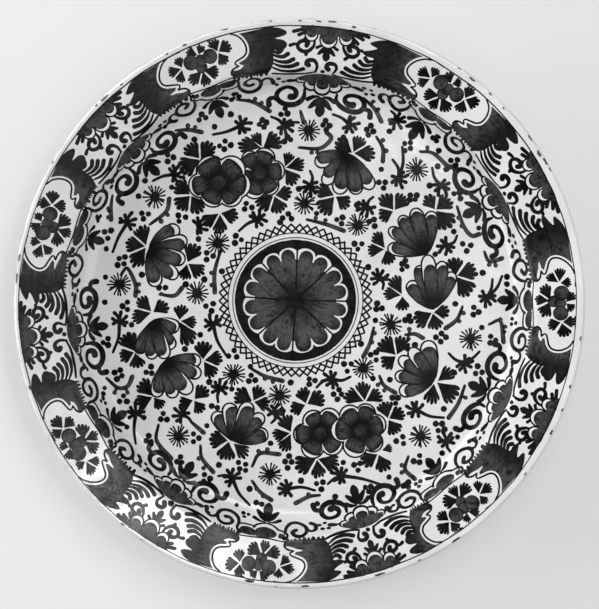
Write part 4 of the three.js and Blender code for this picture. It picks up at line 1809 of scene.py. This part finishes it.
    def base(self) -> bpy.types.Object:
        """Turn the glaze of the base, inside the foot ring."""
        s = self.section
        gap, coat = self.clearance, s.glaze
        profile = [
            (0.0, s.foot_height - coat), *reversed(self.fillet(False, coat)),
            self.flank(False, s.bare_height + self.edge_softening, -coat),
            self.flank(False, s.bare_height, -coat * 0.6), self.flank(False, s.bare_height, -gap),
            self.flank(False, s.foot_height - gap, -gap), (0.0, s.foot_height - gap),
        ]
        return self.wheel.turn("glaze_of_the_base", profile)


class Bench:
    """A node tree that is being wired up, with short calls for the usual nodes."""

    def __init__(self, tree: bpy.types.NodeTree) -> None:
        """Start on a tree."""
        self.tree = tree

    def node(self, kind: str, **settings: object) -> bpy.types.Node:
        """Add a node and set its properties."""
        node = self.tree.nodes.new(kind)
        for name, value in settings.items():
            setattr(node, name, value)
        return node

    def wire(self, source: object, target: object) -> None:
        """Link an output to an input, or set the input where the source is a plain value."""
        if isinstance(source, bpy.types.NodeSocket):
            self.tree.links.new(source, target)
        else:
            target.default_value = source

    def feed(self, node: bpy.types.Node, **values: object) -> bpy.types.Node:
        """Wire up a node's inputs by their labels, whose spaces are written as underscores."""
        for label, value in values.items():
            self.wire(value, node.inputs[label.replace("_", " ")])
        return node

    def place(self) -> bpy.types.NodeSocket:
        """Return the place on the object, in metres."""
        return self.node("ShaderNodeTexCoord").outputs["Object"]

    def math(self, operation: str, first: object, second: object = 0.0) -> bpy.types.NodeSocket:
        """Combine two values."""
        node = self.node("ShaderNodeMath", operation=operation)
        self.wire(first, node.inputs[0])
        self.wire(second, node.inputs[1])
        return node.outputs[0]

    def times(self, first: object, second: object) -> bpy.types.NodeSocket:
        """Multiply two values."""
        return self.math("MULTIPLY", first, second)

    def plus(self, first: object, second: object) -> bpy.types.NodeSocket:
        """Add two values."""
        return self.math("ADD", first, second)

    def parts(self, vector: object) -> bpy.types.NodeOutputs:
        """Take a vector or a colour apart."""
        node = self.node("ShaderNodeSeparateXYZ")
        self.wire(vector, node.inputs[0])
        return node.outputs

    def ramp(
        self, value: object, low: float, high: float, first: float = 0.0, last: float = 1.0
    ) -> bpy.types.NodeSocket:
        """Ease a value over from one level to another between two limits."""
        node = self.node("ShaderNodeMapRange", interpolation_type="SMOOTHSTEP")
        for socket, entry in zip(node.inputs[:5], (value, low, high, first, last)):
            self.wire(entry, socket)
        return node.outputs[0]

    def noise(
        self, place: object, scale: object, detail: float = 2.0, rough: float = 0.5
    ) -> bpy.types.NodeSocket:
        """Add a noise over a place."""
        node = self.node("ShaderNodeTexNoise")
        return self.feed(node, Vector=place, Scale=scale, Detail=detail, Roughness=rough).outputs["Fac"]

    def blend(self, share: object, first: object, last: object) -> bpy.types.NodeSocket:
        """Mix two colours."""
        node = self.node("ShaderNodeMix", data_type="RGBA")
        self.wire(share, node.inputs[0])
        self.wire(first, node.inputs[6])
        self.wire(last, node.inputs[7])
        return node.outputs[2]


def grey(tone: float, cool: float = 0.0) -> Colour:
    """Return a grey, a little cooler or warmer than neutral."""
    return tone * (1 - cool), tone, tone * (1 + cool), 1.0


class Effect(Bench):
    """A node group that several finishes share."""

    def __init__(self, name: str, inputs: dict[str, float], outputs: dict[str, str]) -> None:
        """Start the group.

        Args:
            name: The group's name.
            inputs: The values that a finish may set, with their usual sizes.
            outputs: The results, with the kind of socket that each needs.
        """
        super().__init__(bpy.data.node_groups.new(name, "ShaderNodeTree"))
        sockets = self.tree.interface
        for label, value in inputs.items():
            socket = sockets.new_socket(label, in_out="INPUT", socket_type="NodeSocketFloat")
            socket.default_value = value
        for label, kind in outputs.items():
            sockets.new_socket(label, in_out="OUTPUT", socket_type=kind)
        self.given = self.node("NodeGroupInput").outputs

    def built(self, **results: bpy.types.NodeSocket) -> bpy.types.NodeTree:
        """Wire up the results and return the finished group."""
        self.feed(self.node("NodeGroupOutput"), **results)
        return self.tree


class Effects:
    """The shared effects of the finishes, each a node group."""

    def __init__(self) -> None:
        """Build every group once."""
        self.skin = self.glaze_skin()
        self.streaks = self.brush_streaks()
        self.pinholes = self.kiln_pinholes()
        self.cloud = self.tone_cloud()

    def glaze_skin(self) -> bpy.types.NodeTree:
        """Build the skin of a fired glaze: its slow waves, its fine pores and its gloss."""
        skin = Effect(
            "glaze skin", {"Waves": 0.16, "Pores": 0.12, "Gloss": 0.14},
            {"Normal": "NodeSocketVector", "Roughness": "NodeSocketFloat"},
        )
        place = skin.place()
        waves = skin.noise(place, 42, 2.0)
        pores = skin.noise(place, 520, 3.0, 0.6)
        slow = skin.feed(
            skin.node("ShaderNodeBump"), Strength=skin.given["Waves"], Distance=0.004, Height=waves
        )
        fine = skin.feed(
            skin.node("ShaderNodeBump"), Strength=skin.given["Pores"], Distance=0.0006, Height=pores,
            Normal=slow.outputs["Normal"],
        )
        spread = skin.ramp(skin.noise(place, 60, 4.0), 0.3, 0.75, 0.8, 1.6)
        rough = skin.times(skin.given["Gloss"], spread)
        return skin.built(Normal=fine.outputs["Normal"], Roughness=rough)

    def brush_streaks(self) -> bpy.types.NodeTree:
        """Build the tone of a wash: dark where the brush lands, turns and runs out."""
        wash = Effect("brush streaks", {"Streaks": 1.0}, {"Tone": "NodeSocketFloat"})
        along, across, _ = wash.parts(wash.node("ShaderNodeUVMap", uv_map="Brush").outputs[0])
        place = wash.place()
        drift = wash.noise(place, 55, 1.0)
        foot = wash.ramp(along, -1.0, 0.55, 0.0, 1.0)
        tip = wash.ramp(along, 0.45, 1.0, 1.0, 0.16)
        side = wash.ramp(wash.math("ABSOLUTE", across), 0.55, 1.0, 1.0, 0.5)
        bristle = wash.feed(
            wash.node("ShaderNodeCombineXYZ"), X=wash.times(along, 0.7), Y=wash.times(across, 3.6),
            Z=wash.times(drift, 9.0),
        )
        lines = wash.ramp(wash.noise(bristle.outputs[0], 1.7, 4.0, 0.6), 0.3, 0.7, -0.72, 0.62)
        pool = wash.ramp(wash.noise(place, 210, 4.0, 0.6), 0.3, 0.7, -0.36, 0.36)
        rough = wash.plus(wash.times(lines, wash.given["Streaks"]), pool)
        shaped = wash.times(wash.times(foot, tip), side)
        return wash.built(Tone=wash.times(shaped, wash.plus(rough, 1.0)))

    def kiln_pinholes(self) -> bpy.types.NodeTree:
        """Build the mask of the small pits and kiln specks that a tin glaze has."""
        pits = Effect("kiln pinholes", {"Amount": 0.3, "Size": 0.06}, {"Mask": "NodeSocketFloat"})
        cells = pits.feed(pits.node("ShaderNodeTexVoronoi"), Vector=pits.place(), Scale=170)
        pick, large, _ = pits.parts(cells.outputs["Color"])
        chosen = pits.math("LESS_THAN", pick, pits.given["Amount"])
        size = pits.times(pits.given["Size"], pits.plus(large, 0.4))
        dot = pits.ramp(pits.math("SUBTRACT", size, cells.outputs["Distance"]), 0.0, 0.03)
        return pits.built(Mask=pits.times(chosen, dot))

    def tone_cloud(self) -> bpy.types.NodeTree:
        """Build a soft cloudiness, as the glaze or the clay is thicker here and thinner there."""
        cloud = Effect("tone cloud", {"Scale": 30.0}, {"Cloud": "NodeSocketFloat"})
        noise = cloud.noise(cloud.place(), cloud.given["Scale"], 5.0)
        return cloud.built(Cloud=cloud.ramp(noise, 0.3, 0.7))


PIT_COLOUR = (0.16, 0.14, 0.12, 1.0)


@dataclass(frozen=True)
class Finish:
    """A finish of the fired dish: a colour, its variations, and how it shines."""

    name: str
    slot: str
    light: Colour
    dark: Colour
    gloss: float
    waves: float = 0.16
    pores: float = 0.12
    pits: float = 0.0
    washed: bool = False
    cloud: float = 30.0
    shine: float = 0.5

    def mixed(self, effects: Effects) -> bpy.types.Material:
        """Mix the finish.

        Args:
            effects: The shared effects.

        Returns:
            The material.
        """
        material = bpy.data.materials.new(self.name)
        material.use_nodes = True
        material.node_tree.nodes.clear()
        bench = Bench(material.node_tree)

        def shared(tree: bpy.types.NodeTree, **values: float) -> bpy.types.NodeOutputs:
            """Add a shared effect with its own values."""
            return bench.feed(bench.node("ShaderNodeGroup", node_tree=tree), **values).outputs

        tone = shared(effects.streaks)[0] if self.washed else shared(effects.cloud, Scale=self.cloud)[0]
        colour = bench.blend(tone, self.dark, self.light)
        if self.pits:
            pits = shared(effects.pinholes, Amount=self.pits)[0]
            colour = bench.blend(bench.times(pits, 0.6), colour, PIT_COLOUR)
        skin = shared(effects.skin, Waves=self.waves, Pores=self.pores, Gloss=self.gloss)
        shader = bench.feed(
            bench.node("ShaderNodeBsdfPrincipled"), Base_Color=colour, Specular_IOR_Level=self.shine,
            Roughness=skin["Roughness"], Normal=skin["Normal"],
        )
        bench.feed(bench.node("ShaderNodeOutputMaterial"), Surface=shader.outputs[0])
        return material


WHITE_GLAZE = Finish("white tin glaze", "white_glaze", grey(0.7, 0.01), grey(0.62, 0.012), 0.13, pits=0.1)
BACK_GLAZE = Finish(
    "glaze of the back", "back_glaze", grey(0.68, 0.004), grey(0.58, 0.0), 0.17, 0.3, 0.2, 0.3
)
DARK_PIGMENT = Finish(
    "dark pigment", "dark_pigment", (0.0092, 0.0096, 0.0103, 1.0), (0.0015, 0.0016, 0.0018, 1.0), 0.17,
    cloud=150.0, shine=0.12,
)
DEEP_WASH = Finish(
    "deep wash", "washed_pigment", (0.051, 0.0523, 0.0548, 1.0), (0.0026, 0.0028, 0.0032, 1.0), 0.16,
    washed=True, shine=0.12,
)
WASHED_PIGMENT = Finish(
    "washed pigment", "washed_pigment", (0.0685, 0.0702, 0.0735, 1.0), (0.0037, 0.004, 0.0046, 1.0), 0.16,
    washed=True, shine=0.12,
)
PALE_PIGMENT = Finish(
    "pale pigment", "washed_pigment", (0.112, 0.1145, 0.1185, 1.0), (0.021, 0.022, 0.0237, 1.0), 0.15,
    cloud=60.0,
)
# Dirt and painted shade: bared clay at chips is far darker than the foot ring's clean clay.
CLAY_DIRTY_AND_SHADED = Finish(
    "clay darkened as dirt and painted shade", "fired_clay", (0.13, 0.117, 0.1, 1.0), (0.03, 0.027, 0.023, 1.0), 0.8, 0.25, 0.5,
    cloud=160.0,
)
FIRED_CLAY = Finish(
    "fired clay", "fired_clay", (0.44, 0.4, 0.345, 1.0), (0.25, 0.222, 0.19, 1.0), 0.75, 0.25, 0.5, 0.35,
    cloud=90.0,
)


@dataclass(frozen=True)
class Lamp:
    """A soft lamp that points at the dish, by its compass angle and its angle from overhead."""

    name: str
    compass: float
    tilt: float
    away: float
    width: float
    height: float
    power: float

    def hang(self) -> None:
        """Hang the lamp and point it at the dish."""
        lamp = bpy.data.lights.new(self.name, "AREA")
        lamp.shape = "RECTANGLE"
        lamp.size = self.width
        lamp.size_y = self.height
        lamp.energy = self.power
        holder = placed(self.name, lamp)
        compass, tilt = math.radians(self.compass), math.radians(self.tilt)
        back = Vector(
            (math.cos(compass) * math.sin(tilt), math.sin(compass) * math.sin(tilt), math.cos(tilt))
        )
        holder.location = back * self.away
        holder.rotation_euler = back.to_track_quat("Z", "Y").to_euler()


@dataclass(frozen=True)
class Studio:
    """The pale floor with its painted glow, the lamps and the camera of the picture."""

    floor_size: float = 6.0
    floor_tone: float = 0.78
    painted_glow_share: float = 0.45
    painted_glow_left: float = 0.86
    painted_glow_right: float = 0.68
    surround: float = 0.2
    camera_away: float = 2.2
    camera_lean: Point = (-1.5, 2.6)
    target: tuple[float, float, float] = (-0.13, -0.39, 30.0)
    focal: float = 3575.8
    picture_width: float = 599
    sensor: float = 36.0
    lamps: tuple[Lamp, ...] = (
        Lamp("small bright lamp", 46, 12.5, 1.55, 0.13, 0.13, 2.2),
        Lamp("high soft lamp", 68, 28, 1.6, 0.6, 0.6, 5.8),
        Lamp("low broad lamp", 158, 71, 2.4, 5.2, 1.1, 94.0),
        Lamp("opposite soft lamp", 338, 36, 1.6, 1.8, 1.8, 12.6),
    )

    def floor(self) -> None:
        """Lay the floor that the dish rests on, with a painted glow that only the camera sees."""
        bpy.ops.object.select_all(action="DESELECT")
        bpy.ops.mesh.primitive_plane_add(size=self.floor_size)
        floor = bpy.context.active_object
        floor.name = "studio_floor"
        material = bpy.data.materials.new("pale floor")
        material.use_nodes = True
        nodes = material.node_tree.nodes
        bench = Bench(material.node_tree)
        shader = bench.feed(
            nodes["Principled BSDF"], Base_Color=grey(self.floor_tone), Roughness=0.95,
            Specular_IOR_Level=0.1,
        )
        # Painted light: a camera-only glow, brighter left, darker right, that lifts the dish's shadow.
        x, y, _ = bench.parts(bench.place())
        level = bench.ramp(bench.math("SUBTRACT", x, bench.times(y, 0.15)), -0.25, 0.3)
        tone = bench.blend(level, grey(self.painted_glow_left), grey(self.painted_glow_right))
        glow = bench.feed(bench.node("ShaderNodeEmission"), Color=tone)
        mix = bench.node("ShaderNodeMixShader")
        seen = bench.node("ShaderNodeLightPath").outputs["Is Camera Ray"]
        bench.wire(bench.times(seen, self.painted_glow_share), mix.inputs[0])
        bench.wire(shader.outputs[0], mix.inputs[1])
        bench.wire(glow.outputs[0], mix.inputs[2])
        bench.feed(nodes["Material Output"], Surface=mix.outputs[0])
        floor.data.materials.append(material)

    def light(self) -> None:
        """Hang the lamps and dim the surroundings."""
        for lamp in self.lamps:
            lamp.hang()
        world = bpy.data.worlds.new("studio")
        world.use_nodes = True
        Bench(world.node_tree).feed(
            world.node_tree.nodes["Background"], Color=grey(1.0), Strength=self.surround
        )
        bpy.context.scene.world = world

    def camera(self) -> None:
        """Set the camera up almost straight above the dish."""
        view = bpy.data.cameras.new("camera")
        view.sensor_fit = "HORIZONTAL"
        view.sensor_width = self.sensor
        view.lens = self.focal / self.picture_width * self.sensor
        view.clip_start = 0.1
        holder = placed("camera", view)
        east, north = (math.tan(math.radians(lean)) for lean in self.camera_lean)
        back = Vector((east, north, 1.0)).normalized()
        right = Vector((0.0, 1.0, 0.0)).cross(back).normalized()
        turn = Matrix((right, back.cross(right), back)).transposed().to_4x4()
        aim = Vector(self.target) * MM
        holder.matrix_world = Matrix.Translation(aim + back * self.camera_away) @ turn
        bpy.context.scene.camera = holder
        bpy.context.scene.view_settings.view_transform = "Standard"


def dress(piece: bpy.types.Object, material: bpy.types.Material, finish: Finish, node: str) -> None:
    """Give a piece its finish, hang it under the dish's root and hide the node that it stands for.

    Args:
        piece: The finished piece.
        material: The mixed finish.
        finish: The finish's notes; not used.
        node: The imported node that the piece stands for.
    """
    piece.data.materials.clear()
    piece.data.materials.append(material)
    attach(piece, "root")
    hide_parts(node)
    log.info("%s stands for %s, with %d faces", piece.name, node, len(piece.data.polygons))


def main() -> None:
    """Turn the dish, paint and glaze its face, and set up the studio."""
    logging.basicConfig(level=logging.INFO, format="%(message)s")
    random.seed(SEED)
    section = DishSection()
    effects = Effects()
    finishes = {
        Coat.GLAZE: WHITE_GLAZE, Coat.DARK: DARK_PIGMENT, Coat.WASH: WASHED_PIGMENT, Coat.DEEP: DEEP_WASH,
        Coat.PALE: PALE_PIGMENT,
    }
    clays = (BACK_GLAZE, FIRED_CLAY, CLAY_DIRTY_AND_SHADED)
    mixed = {finish: finish.mixed(effects) for finish in (*finishes.values(), *clays)}
    thrown = ThrownDish(section, Wheel())
    for piece, finish, node in (
        (thrown.body(), CLAY_DIRTY_AND_SHADED, "clay_body"), (thrown.foot(), FIRED_CLAY, "foot_ring"),
        (thrown.back(), BACK_GLAZE, "back_glaze"), (thrown.base(), BACK_GLAZE, "base_glaze"),
    ):
        dress(piece, mixed[finish], finish, node)

    face = PaintedFace(section)
    hand = Hand(face)
    Medallion().paint(hand)
    FlowerField().paint(hand)
    Border().paint(hand)
    ChippedLip().flake(hand)
    log.info("the painting has %d touches", len(face.outlines))
    for layer, cuttings in face.cut().items():
        if layer.coat is Coat.BARE:
            continue
        finish = finishes[layer.coat]
        dress(face.lay(layer, cuttings), mixed[finish], finish, "face_glaze")

    studio = Studio()
    studio.floor()
    studio.light()
    studio.camera()


if __name__ == "__main__":
    main()
